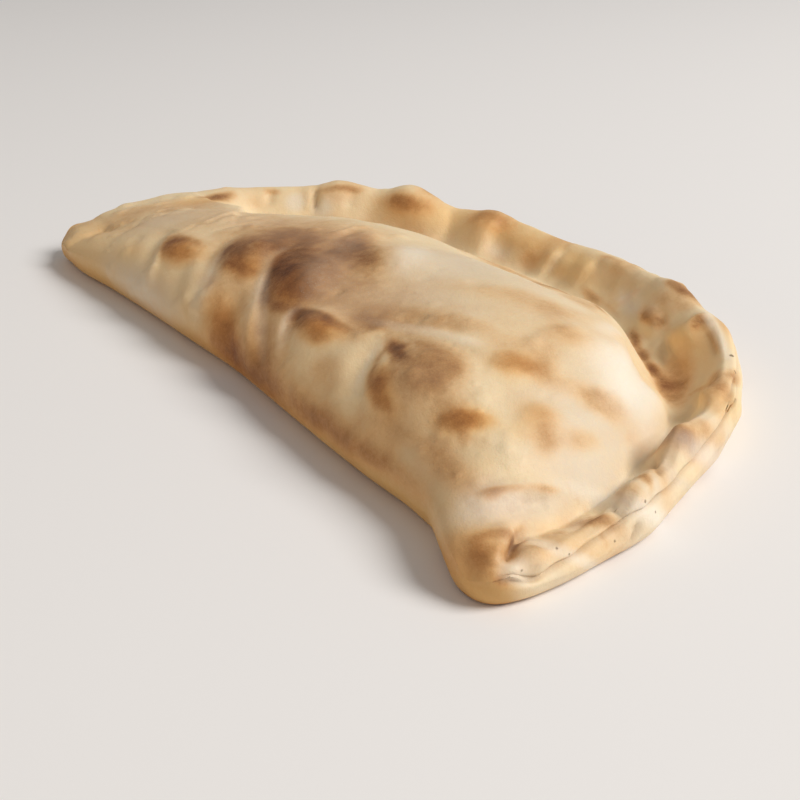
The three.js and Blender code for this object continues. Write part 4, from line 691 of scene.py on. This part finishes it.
# the same on the sides away from the camera
FAR_TOAST = [
    (-45, 102, 18, 19.7, 3.5, 2.6, -1.6, 8.9, -4.8, .34, .8),
    (-8, 118, 13.6, 14, 0, 0.7, -0, 7, -4.5, .26, .8),
    (24, 113, 16.8, 17.4, -4.7, 2.1, 2.1, 7.7, -5, .38, .8),
    (55, 98, 23, 10.9, -5.1, 1.8, 3, 6.3, -4.2, .26, .8),
    (-80, 94, 11.3, 13, 7.5, 1.4, -4, 6.9, -5.1, .34, .8),
    (-62, 110, 9, 8.5, 3.1, 0.9, -2.1, 5.6, -3.6, .40, .8),
    (40, 113, 15.3, 8.9, -1.6, -0.2, 0.9, 4.9, -3.8, .36, .8),
    (-30, 116, 12.8, 10, 0, 1.4, -0, 5, -3.1, .30, .8),
    (84.7, 130.4, 19, -5, 3.3, 0, -0.5, -0.8, 2.8, .40, .8),
    (62.2, 139.6, 21, -8.2, 3.7, 0, -0.5, -1.1, 3.8, .50, .8),
    (23.7, 149.6, 19, -4.9, 0.8, 0, -0.1, -0.9, 2.8, .30, .8),
    (-13.2, 151.2, 17, -8, -0.7, 0, 0.1, -0.9, 2.8, .42, .8),
    (-49.7, 144.4, 20, -8.5, -2.9, 0, 0.4, -1.1, 3.8, .55, .8),
    (-81.1, 129.8, 23, -8.5, -5.3, 0, 0.6, -1, 3.8, .50, .8),
    (-108.1, 108.1, 23, -5.7, -5.7, 0, 0.8, -0.8, 3.8, .50, .8),
    (-132.1, 76.3, 19, -3.5, -6.1, 0, 0.8, -0.4, 2.8, .38, .8),
    (-144.3, 44.1, 16, -1.8, -5.7, 0, 0.9, -0.3, 2.8, .40, .8),
    (77.2, 133.7, 5, -10.4, 6, 0, -0.6, -1, 3.8, .34, .8),
    (36.7, 147.2, 4, -8.7, 2.2, 0, -0.2, -0.9, 2.8, .30, .8),
    (0, 151.5, 6, -8, 0, 0, -0, -0.9, 2.8, .30, .8),
    (-34.3, 148.4, 4, -13.6, -3.1, 0, 0.2, -0.9, 2.8, .42, .8),
    (-74.2, 133.8, 5, -10.5, -5.8, 0, 0.6, -1, 3.8, .40, .8),
    (-104.3, 111.9, 4, -5.9, -5.5, 0, 0.6, -0.7, 2.8, .30, .8),
    (-126.6, 85.4, 5, -6.7, -9.9, 0, 1, -0.7, 3.8, .42, .8),
    (-142.4, 51.8, 4, -2.7, -7.5, 0, 0.8, -0.3, 2.8, .36, .8),
    (-147.1, 23.3, 6, -1.3, -7.9, 0, 1.2, -0.2, 3.8, .38, .8),
    (52.1, 143.1, 11, -4.7, 1.7, 0, -0.3, -0.8, 2.8, .22, .8),
    (-21.1, 150.5, 11, -5.9, -0.8, 0, 0.1, -0.9, 2.8, .24, .8),
    (-92.1, 122.2, 12, -4.8, -3.6, 0, 0.5, -0.7, 2.8, .28, .8),
    (-118.7, 96.1, 12, -2.5, -3.1, 0, 0.7, -0.6, 2.8, .20, .8),
    (-137.9, 64.3, 11, -3, -6.3, 0, 0.8, -0.4, 2.8, .28, .8),
]


# colours, linear
RAMP = [(0.0, (.85, .67, .42)), (.22, (.76, .51, .27)), (.45, (.53, .295, .125)), (.70, (.29, .13, .048)),
        (1.0, (.11, .042, .016))]
PALE_COLOUR = (.90, .83, .71)
PALE_MIX = .8
DUST_COLOUR = (.60, .405, .262)
FLOUR_COLOUR = (.86, .79, .68)
FLOURY_COLOUR = (.72, .61, .47)
# golden tint, partly painted warm bounce light
GOLD_AND_WARM_BOUNCE_COLOUR = (1.0, .80, .50)
# golden bake at the foot of the fold side, deepened to paint in the warm shade and bounce light there
FOOT_BAKE_AND_SHADE_COLOUR = (.72, .50, .22)
FLOOR_COLOUR = (.86, .84, .83, 1)
# name, towards the right, ahead, elevation, distance, size, power, colour
LIGHTS = [("key", .88, -.25, 43, 3.0, 1.7, 84, (1, .98, .95)),
          ("warm_fill", -.80, -.60, 16, 3.0, 1.6, 10, (1, .78, .50))]
WORLD = ((1, .985, .97), .28)
# small dark pits in the crust: place and radius, mm
SPECKS = [(149.2, 18.7, 8.1, 0.35),
          (144.6, 45.0, 11.9, 0.5),
          (150.9, 4.0, 9.5, 0.4),
          (147.6, 33.5, 6.0, 0.4),
          (51.1, 105.1, 21.3, 0.45),
          (98.7, 118.3, 17.3, 0.8),
          (106.3, 112.2, 16.2, 0.7),
          (52.4, 121.5, 8.1, 0.35),
          (150.9, 0.7, 8.9, 0.3),
          (148.0, 16.0, 9.8, 0.3),
          (144.5, 48.7, 7.9, 0.35)]


# ---------------------------------------------------------------------------
# Relief, in mm along the surface's own normal.
# ---------------------------------------------------------------------------
def noise(P, size, seed):
    """smooth gradient noise, about -1..1, with features of that size in mm"""
    q = P / size
    base = np.floor(q).astype(np.int64)
    f = q - base
    u = f * f * f * (f * (f * 6 - 15) + 10)
    total = np.zeros(P.shape[:-1])
    for dx in (0, 1):
        for dy in (0, 1):
            for dz in (0, 1):
                i = base + (dx, dy, dz)
                h = (i[..., 0] * 73856093) ^ (i[..., 1] * 19349663) ^ (i[..., 2] * 83492791) ^ (seed * 40503)
                h = (h & 0x7fffffff) * 1103515245 + 12345 & 0x7fffffff
                h = ((h >> 13) ^ h) * 1274126177 & 0x7fffffff
                h ^= h >> 15
                g = (((h & 1023) / 511.5 - 1) * (f[..., 0] - dx) + (((h >> 10) & 1023) / 511.5 - 1) * (f[..., 1] - dy)
                     + (((h >> 20) & 1023) / 511.5 - 1) * (f[..., 2] - dz))
                w = ((u[..., 0] if dx else 1 - u[..., 0]) * (u[..., 1] if dy else 1 - u[..., 1])
                     * (u[..., 2] if dz else 1 - u[..., 2]))
                total += w * g
    return total * 1.35


def nearest_on(line, P):
    """squared distance to a line of points, the vector from it, the run's direction there and how far along it is"""
    line = np.asarray(line, float)
    D = np.diff(line, axis=0)
    L = np.linalg.norm(D, axis=1)
    along = np.r_[0, np.cumsum(L)]
    best = np.full(len(P), 1e9)
    vec, run, t_all = np.zeros_like(P), np.zeros_like(P), np.zeros(len(P))
    for k, (a, d, n) in enumerate(zip(line[:-1], D, L)):
        t = np.clip(((P - a) @ d) / (n * n), 0, 1)
        v = P - a - t[:, None] * d
        d2 = (v * v).sum(-1)
        m = d2 < best
        best[m], vec[m], run[m], t_all[m] = d2[m], v[m], d / n, (along[k] + t[m] * n) / along[-1]
    return best, vec, run, t_all


def inside(C, U, V, flat):
    """place in an ellipse on the surface: along its two half axes and off its plane, in mm"""
    axis = np.cross(U, V)
    axis /= np.linalg.norm(axis)
    v = flat - C
    area = np.cross(U, V) @ axis
    return np.cross(v, V) @ axis / area, np.cross(U, v) @ axis / area, v @ axis


def bent(line, m=6):
    """the line with its corners rounded off"""
    pts = np.asarray(line, float)
    t = np.arange(len(pts))
    return np.stack([through(np.linspace(0, len(pts) - 1, m * (len(pts) - 1) + 1), t, pts[:, i]) for i in range(3)], 1)


def relief(P, N, info):
    flat = P.reshape(-1, 3)
    nrm = N.reshape(-1, 3)
    h = np.zeros(len(flat))
    for x, y, z, ra, rb, deg, amp in DOMES:
        c, s = math.cos(math.radians(deg)), math.sin(math.radians(deg))
        d = flat - (x, y, z)
        u, v, w = (d[:, 0] * c + d[:, 1] * s) / ra, (-d[:, 0] * s + d[:, 1] * c) / rb, d[:, 2] / 9
        h += amp * np.exp(-(u * u + v * v + w * w) ** 1.25)
    for row in SWELLS:
        C, U, V, amp = np.array(row[:3]), np.array(row[3:6]), np.array(row[6:9]), row[9]
        reach = max(np.linalg.norm(U), np.linalg.norm(V))
        near = np.where(((flat - C) ** 2).sum(1) < (2.5 * reach + 8) ** 2)[0]
        a, b, off = inside(C, U, V, flat[near])
        h[near] += amp * np.exp(-(a * a + b * b + (off / (6 + .3 * reach)) ** 2) ** 1.2)
    for line, amp, r in RIDGES:
        pts = bent(line)
        near = np.where(((flat - pts.mean(0)) ** 2).sum(1) < (np.ptp(pts, axis=0).max() + 4 * r) ** 2)[0]
        d2, _, _, t = nearest_on(pts, flat[near])
        h[near] += amp * np.exp(-d2 / (r * r)) * (0.35 + 0.65 * step(0, .2, t) * step(0, .2, 1 - t))
    keep, light, brown = np.ones(len(flat)), np.zeros(len(flat)), np.zeros(len(flat))
    for line, row, amp, w in SHELVES:
        pts = bent(line)
        C, U, V = np.array(row[:3]), np.array(row[3:6]), np.array(row[6:9])
        reach = max(np.linalg.norm(U), np.linalg.norm(V))
        near = np.where(((flat - C) ** 2).sum(1) < (2.3 * reach + 8) ** 2)[0]
        a, b, off = inside(C, U, V, flat[near])
        d2, v, run, t = nearest_on(pts, flat[near])
        s = np.einsum("ij,ij->i", np.cross(run, nrm[near]), v) + .35 * noise(flat[near], 7, 3)
        there = np.exp(-(a * a + b * b + (off / (7 + .35 * reach)) ** 2) ** 1.3)
        if amp > 0:
            h[near] += amp * there * (step(-w, w, s) - .12 * np.exp(-((s + 1.6 * w) / (1.5 * w)) ** 2))
        else:
            # a rounded fold outside the line, steep towards the blister
            h[near] -= amp * there * step(-w, .8 * w, -s) * np.exp(-(np.minimum(s, 0) / (4.2 * w)) ** 2)
            keep[near] *= 1 - .85 * there * (1 - step(-1.3, .7, s))
            light[near] += there * np.exp(-((s + 2.6) / 2.0) ** 2)
            brown[near] += there * np.exp(-((s - 1.5) / 1.6) ** 2)
    h = h.reshape(P.shape[:-1])
    # painted shade: darker colour along the narrow furrows
    dark = np.zeros(len(flat))
    for line, amp, r in RIDGES:
        if amp < -.45 and r < 1.7:
            pts = bent(line)
            near = np.where(((flat - pts.mean(0)) ** 2).sum(1) < (np.ptp(pts, axis=0).max() + 4 * r) ** 2)[0]
            d2, _, _, t = nearest_on(pts, flat[near])
            dark[near] += .45 * min(1, -amp) * np.exp(-d2 / (.8 * r) ** 2) * (0.2 + 0.8 * step(0, .2, t) * step(0, .2, 1 - t))
    info["crease"] = np.clip(dark, 0, 1)
    info["keep"], info["light"], info["brown"] = keep, np.clip(light, 0, 1), np.clip(brown, 0, 1)

    # dough that rose unevenly, and the small bubbles under its skin
    rim = info["rim"][:, None] * np.r_[np.zeros(info["n_base"] + 1), np.ones(info["n_wall"]),
                                       np.linspace(1, 0, P.shape[1] - info["n_base"] - 1 - info["n_wall"]) ** 2][None, :]
    h += .36 * noise(P, 22, 11) + .10 * noise(P, 8, 12) + (.02 + .09 * rim) * noise(P, 3.4, 13)
    h += rim * .40 * noise(P * (1, 1, .55), 9, 14)
    rng = np.random.default_rng(20)
    spots = rng.integers(0, len(flat), 420)
    spots = spots[flat[spots, 2] > 6]
    for k in spots:
        r = 1.0 + 2.6 * rng.random() ** 3
        d2 = ((flat - flat[k]) ** 2).sum(1)
        near = np.where(d2 < (2.2 * r) ** 2)[0]
        amp = (.10 + .13 * rng.random()) * r * (1 if rng.random() < .8 else -.7)
        h.reshape(-1)[near] += amp * np.exp(-(d2[near] / (r * r)) ** 1.5)
    return h * step(1.5, 5, P[..., 2])


def patch_mask(flat, patches, wobble):
    """how strongly each point lies inside the given patches, 0..1"""
    keep = np.ones(len(flat))
    for row in patches:
        C, U, V, amount, soft = np.array(row[:3]), np.array(row[3:6]), np.array(row[6:9]), row[9], row[10]
        reach = max(np.linalg.norm(U), np.linalg.norm(V))
        near = np.where(((flat - C) ** 2).sum(1) < (2.4 * reach + 14) ** 2)[0]
        if not len(near):
            continue
        a, b, h = inside(C, U, V, flat[near])
        d = np.sqrt(a * a + b * b + (h / (8 + .35 * reach)) ** 2) + wobble[near] * .16
        keep[near] *= 1 - amount * (1 - step(1 - soft, 1 + soft * .8, d))
    return 1 - keep


def stroke_mask(flat, strokes, wobble):
    """how strongly each point lies along the given strokes, 0..1"""
    keep = np.ones(len(flat))
    for line, amount, r in strokes:
        pts = bent(line)
        near = np.where(((flat - pts.mean(0)) ** 2).sum(1) < (np.ptp(pts, axis=0).max() + 4 * r) ** 2)[0]
        d2, _, _, t = nearest_on(pts, flat[near])
        w = np.exp(-(np.sqrt(d2) / r * (1 + .22 * wobble[near])) ** 2)
        keep[near] *= 1 - amount * w * (.3 + .7 * step(0, .3, t) * step(0, .3, 1 - t))
    return 1 - keep


P, info = surface(N_ROUND, N_BASE, N_WALL, N_TOP)
N = normals(P)
P = P + N * relief(P, N, info)[..., None]
N = normals(P)
flat = P.reshape(-1, 3)
wobble = .6 * noise(flat, 9, 31) + .45 * noise(flat, 4, 32) + .25 * noise(flat, 2, 33)
# browning, and painted shade in the valleys by the rim
toast_and_shade = patch_mask(flat, TOAST_AND_SHADE, wobble)
toast_and_shade = toast_and_shade * info["keep"] + info["brown"] * np.clip(toast_and_shade, 0, .3) * .45
toast_and_shade = 1 - (1 - toast_and_shade) * (1 - patch_mask(flat, FAR_TOAST, 1.6 * wobble)) * (1 - stroke_mask(flat, TOAST_AND_SHADE_STROKES, wobble))
pale = 1 - (1 - patch_mask(flat, PALE, wobble)) * (1 - .18 * info["light"]) * (1 - stroke_mask(flat, PALE_STROKES, wobble))
veil = patch_mask(flat, VEIL, wobble)
floury = patch_mask(flat, FLOURY, wobble) * (1 - step(0, .4, toast_and_shade))
# golden tint, partly painted warm bounce light on shaded faces
gold_and_warm_bounce = patch_mask(flat, GOLD_AND_WARM_BOUNCE, wobble)

# ---------------------------------------------------------------------------
# The mesh: the ring's rows, closed along the middle line above and below.
# ---------------------------------------------------------------------------
n, rows = P.shape[:2]
index = np.zeros((n, rows), int)
verts, values = [], []
count = 0
half = n // 2
row_of = np.zeros((n, rows), int)
for i in range(n):
    for k in (0, rows - 1):
        j = min(i, n - i)
        if i == j:
            index[i, k] = count
            verts.append(P[i, k])
            values.append((i, k))
            count += 1
for i in range(n):
    for k in (0, rows - 1):
        index[i, k] = index[min(i, n - i), k]
for i in range(n):
    for k in range(1, rows - 1):
        index[i, k] = count
        verts.append(P[i, k])
        values.append((i, k))
        count += 1
verts = (np.array(verts) - ORIGIN) / 1000
pick = np.array([i * rows + k for i, k in values])
faces = []
for i in range(n):
    j = (i + 1) % n
    for k in range(rows - 1):
        quad = [index[i, k], index[j, k], index[j, k + 1], index[i, k + 1]]
        face = [v for m, v in enumerate(quad) if v != quad[m - 1]]
        if len(set(face)) >= 3:
            faces.append(tuple(int(v) for v in face))
mesh = bpy.data.meshes.new("crust")
mesh.from_pydata([tuple(v) for v in verts], [], faces)
mesh.update()
mesh.polygons.foreach_set("use_smooth", np.ones(len(mesh.polygons), bool))
seam = np.zeros((n, rows))
seam[:, N_BASE + 1:N_BASE + 1 + N_WALL] = np.exp(-(info["seam_gap"] / .45) ** 2) * info["rim"][:, None]
under = (1 - step(-.1, 2.2, P[..., 2]))
# the fold side's lower wall, darker and warmer towards the bottom: golden bake with painted shade and warm bounce light
foot_bake_and_shade = ((1 - step(0, 34, P[..., 2])) * .85 + .5 * (1 - step(0, 11, P[..., 2]))) * (1 - info["rim"][:, None])
foot_bake_and_shade = foot_bake_and_shade * (1 - step(14, 40, P[..., 1]))
for name, data in (("toast_and_shade", toast_and_shade), ("pale", pale), ("veil", veil), ("floury", floury), ("gold_and_warm_bounce", gold_and_warm_bounce), ("seam", seam.reshape(-1)),
                   ("under", under.reshape(-1)), ("foot_bake_and_shade", foot_bake_and_shade.reshape(-1)), ("crease", info["crease"])):
    layer = mesh.attributes.new(name, "FLOAT", "POINT")
    layer.data.foreach_set("value", np.clip(data[pick], 0, 1).astype(np.float32))
crust = bpy.data.objects.new("calzone_crust", mesh)
bpy.context.scene.collection.objects.link(crust)


# ---------------------------------------------------------------------------
# Material
# ---------------------------------------------------------------------------
mat = bpy.data.materials.new("baked_dough")
mat.use_nodes = True
tree = mat.node_tree
for node in list(tree.nodes):
    tree.nodes.remove(node)
out = tree.nodes.new("ShaderNodeOutputMaterial")
bsdf = tree.nodes.new("ShaderNodeBsdfPrincipled")
tree.links.new(bsdf.outputs["BSDF"], out.inputs["Surface"])
coord = tree.nodes.new("ShaderNodeTexCoord").outputs["Object"]


def put(socket, value):
    if isinstance(value, bpy.types.NodeSocket):
        tree.links.new(value, socket)
    else:
        socket.default_value = value


def math_node(op, *args, clamp=False):
    node = tree.nodes.new("ShaderNodeMath")
    node.operation = op
    node.use_clamp = clamp
    for s, v in zip(node.inputs, args):
        put(s, v)
    return node.outputs[0]


def add(a, b, **k):
    return math_node("ADD", a, b, **k)


def mul(a, b, **k):
    return math_node("MULTIPLY", a, b, **k)


def attribute(name):
    node = tree.nodes.new("ShaderNodeAttribute")
    node.attribute_type = "GEOMETRY"
    node.attribute_name = name
    return node.outputs["Fac"]


def noise_node(scale, detail=2.0, rough=.5, distortion=0.0):
    node = tree.nodes.new("ShaderNodeTexNoise")
    node.inputs["Scale"].default_value = scale
    node.inputs["Detail"].default_value = detail
    node.inputs["Roughness"].default_value = rough
    node.inputs["Distortion"].default_value = distortion
    tree.links.new(coord, node.inputs["Vector"])
    return node.outputs["Fac"]


def between(v, lo, hi, to_lo=0.0, to_hi=1.0, smooth=True):
    node = tree.nodes.new("ShaderNodeMapRange")
    node.interpolation_type = "SMOOTHSTEP" if smooth else "LINEAR"
    for s, x in zip(node.inputs, (v, lo, hi, to_lo, to_hi)):
        put(s, x)
    return node.outputs[0]


def mix(fac, a, b, mode="MIX"):
    node = tree.nodes.new("ShaderNodeMix")
    node.data_type = "RGBA"
    node.blend_type = mode
    put(node.inputs[0], fac)
    put(node.inputs[6], a)
    put(node.inputs[7], b)
    return node.outputs[2]


toast_and_shade_a, pale_a, veil_a = attribute("toast_and_shade"), attribute("pale"), attribute("veil")
floury_a, gold_and_warm_bounce_a = attribute("floury"), attribute("gold_and_warm_bounce")
seam_a, under_a, foot_bake_and_shade_a, crease_a = attribute("seam"), attribute("under"), attribute("foot_bake_and_shade"), attribute("crease")
broad = noise_node(42, 2.5, .5)
blotch = noise_node(170, 3, .55)
fine = noise_node(620, 3, .6)
grain = noise_node(2100, 2, .6)

# how far the dough is baked, with painted shade in the valleys by the rim
level = mul(toast_and_shade_a, between(blotch, .3, .7, .90, 1.09))
level = add(level, between(broad, .35, .7, -.05, .07))
level = add(level, mul(under_a, .34))
level = add(level, mul(mul(under_a, between(blotch, .42, .68)), .30))
level = add(level, mul(add(fine, -.5), add(mul(toast_and_shade_a, .20), .07)))
level = add(level, mul(add(grain, -.5), add(mul(toast_and_shade_a, .26), .06)), clamp=True)
ramp = tree.nodes.new("ShaderNodeValToRGB")
ramp.color_ramp.interpolation = "LINEAR"
stops = RAMP
while len(ramp.color_ramp.elements) < len(stops):
    ramp.color_ramp.elements.new(.5)
for element, (pos, col) in zip(ramp.color_ramp.elements, stops):
    element.position = pos
    element.color = (*col, 1)
tree.links.new(level, ramp.inputs[0])
colour = ramp.outputs[0]
# painted shade and warm bounce light on the fold side's foot, over its golden bake
colour = mix(mul(foot_bake_and_shade_a, .85), colour, (*FOOT_BAKE_AND_SHADE_COLOUR, 1), "MULTIPLY")
colour = mix(mul(floury_a, between(fine, .3, .7, .72, .98)), colour, (*FLOURY_COLOUR, 1))
colour = mix(mul(pale_a, PALE_MIX), colour, (*PALE_COLOUR, 1))
# golden tint multiplied in, partly painted warm bounce light on shaded faces
colour = mix(gold_and_warm_bounce_a, colour, (*GOLD_AND_WARM_BOUNCE_COLOUR, 1), "MULTIPLY")
dust = mul(between(fine, .25, .75, .45, .95), add(mul(veil_a, .62), .02))
colour = mix(dust, colour, (*DUST_COLOUR, 1))
specks = mul(between(grain, .60, .74), add(mul(veil_a, .35), mul(under_a, .3)))
colour = mix(specks, colour, (*FLOUR_COLOUR, 1))
char = mul(between(noise_node(330, 2, .5), .67, .76), between(toast_and_shade_a, .25, .6, .03, .24))
colour = mix(char, colour, (.20, .10, .045, 1))
colour = mix(mul(seam_a, .42), colour, (.30, .17, .08, 1))
# painted shade in the narrow furrows
colour = mix(crease_a, colour, (.30, .17, .08, 1))
nearest = None
for x, y, z, r in SPECKS:
    node = tree.nodes.new("ShaderNodeVectorMath")
    node.operation = "DISTANCE"
    tree.links.new(coord, node.inputs[0])
    at = (np.array([x, y, z]) - ORIGIN) / 1000
    node.inputs[1].default_value = tuple(float(c) for c in at)
    d = add(node.outputs["Value"], -r / 1000)
    nearest = d if nearest is None else math_node("MINIMUM", nearest, d)
colour = mix(mul(between(add(nearest, mul(add(fine, -.5), .0012)), .0001, -.0004), .8), colour, (.16, .10, .05, 1))
tree.links.new(colour, bsdf.inputs["Base Color"])
tree.links.new(add(between(fine, .3, .7, .52, .66), mul(veil_a, .14), clamp=True), bsdf.inputs["Roughness"])
bsdf.inputs["Specular IOR Level"].default_value = .32
bsdf.inputs["Subsurface Weight"].default_value = .12
bsdf.inputs["Subsurface Radius"].default_value = (1.0, .55, .3)
bsdf.inputs["Subsurface Scale"].default_value = .004

last = None
for height, strength, distance in ((blotch, .3, .0005), (fine, .4, .00035), (grain, .5, .00018)):
    bump = tree.nodes.new("ShaderNodeBump")
    bump.inputs["Strength"].default_value = strength
    bump.inputs["Distance"].default_value = distance
    put(bump.inputs["Height"], height)
    if last is not None:
        tree.links.new(last, bump.inputs["Normal"])
    last = bump.outputs["Normal"]
tree.links.new(last, bsdf.inputs["Normal"])
mesh.materials.append(mat)

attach(crust, "root")
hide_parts("calzone")

# ---------------------------------------------------------------------------
# Stage, light and camera
# ---------------------------------------------------------------------------
bpy.ops.mesh.primitive_plane_add(size=9, location=(0, 0, 0))
floor = bpy.context.object
floor.name = "floor"
floor_mat = bpy.data.materials.new("plain_floor")
floor_mat.use_nodes = True
floor_bsdf = floor_mat.node_tree.nodes["Principled BSDF"]
floor_bsdf.inputs["Base Color"].default_value = FLOOR_COLOUR
floor_bsdf.inputs["Roughness"].default_value = .85
floor_bsdf.inputs["Specular IOR Level"].default_value = .1
floor.data.materials.append(floor_mat)

RIGHT = np.array([0.5283245714439843, 0.8490424884589289, 0.0])
AHEAD = np.array([-0.7737273173565056, 0.48145900695599103, -0.41175631506663796])
UPWARD = np.array([-0.34959860638285706, 0.21754097869693564, 0.911293990434889])
EYE = (np.array([343.8592720454128, -147.4700663893849, 160.6186886769997]) - ORIGIN) / 1000
camera = bpy.data.objects.new("camera", bpy.data.cameras.new("camera"))
camera.data.sensor_width = 36
camera.data.lens = 58.5
camera.data.clip_start = .01
camera.matrix_world = Matrix([[RIGHT[r], UPWARD[r], -AHEAD[r], EYE[r]] for r in range(3)] + [[0, 0, 0, 1]])
bpy.context.scene.collection.objects.link(camera)
bpy.context.scene.camera = camera


def area(name, direction, elevation, distance, size, power, colour):
    """a soft box that looks at the middle of the piece"""
    d = np.array([*(np.asarray(direction, float)[:2]), 0.0])
    d /= np.linalg.norm(d)
    e = math.radians(elevation)
    at = Vector((d * math.cos(e) + (0, 0, math.sin(e))) * distance + (0, 0, .015))
    data = bpy.data.lights.new(name, "AREA")
    data.shape = "DISK"
    data.size = size
    data.energy = power
    data.color = colour
    obj = bpy.data.objects.new(name, data)
    obj.location = at
    obj.rotation_euler = (Vector((0, 0, .015)) - at).to_track_quat("-Z", "Y").to_euler()
    bpy.context.scene.collection.objects.link(obj)
    return obj


level_ahead = np.array([AHEAD[0], AHEAD[1]]) / math.hypot(AHEAD[0], AHEAD[1])
for spec in LIGHTS:
    name, side, ahead, elevation, distance, size, power, col = spec
    area(name, RIGHT[:2] * side + level_ahead * ahead, elevation, distance, size, power, col)
world = bpy.data.worlds.new("studio")
bpy.context.scene.world = world
world.use_nodes = True
world.node_tree.nodes["Background"].inputs["Color"].default_value = (*WORLD[0], 1)
world.node_tree.nodes["Background"].inputs["Strength"].default_value = WORLD[1]
bpy.context.scene.view_settings.view_transform = "Standard"
bpy.context.scene.view_settings.look = "None"
bpy.context.scene.view_settings.exposure = 0
bpy.context.scene.view_settings.gamma = 1

bpy.context.view_layer.update()
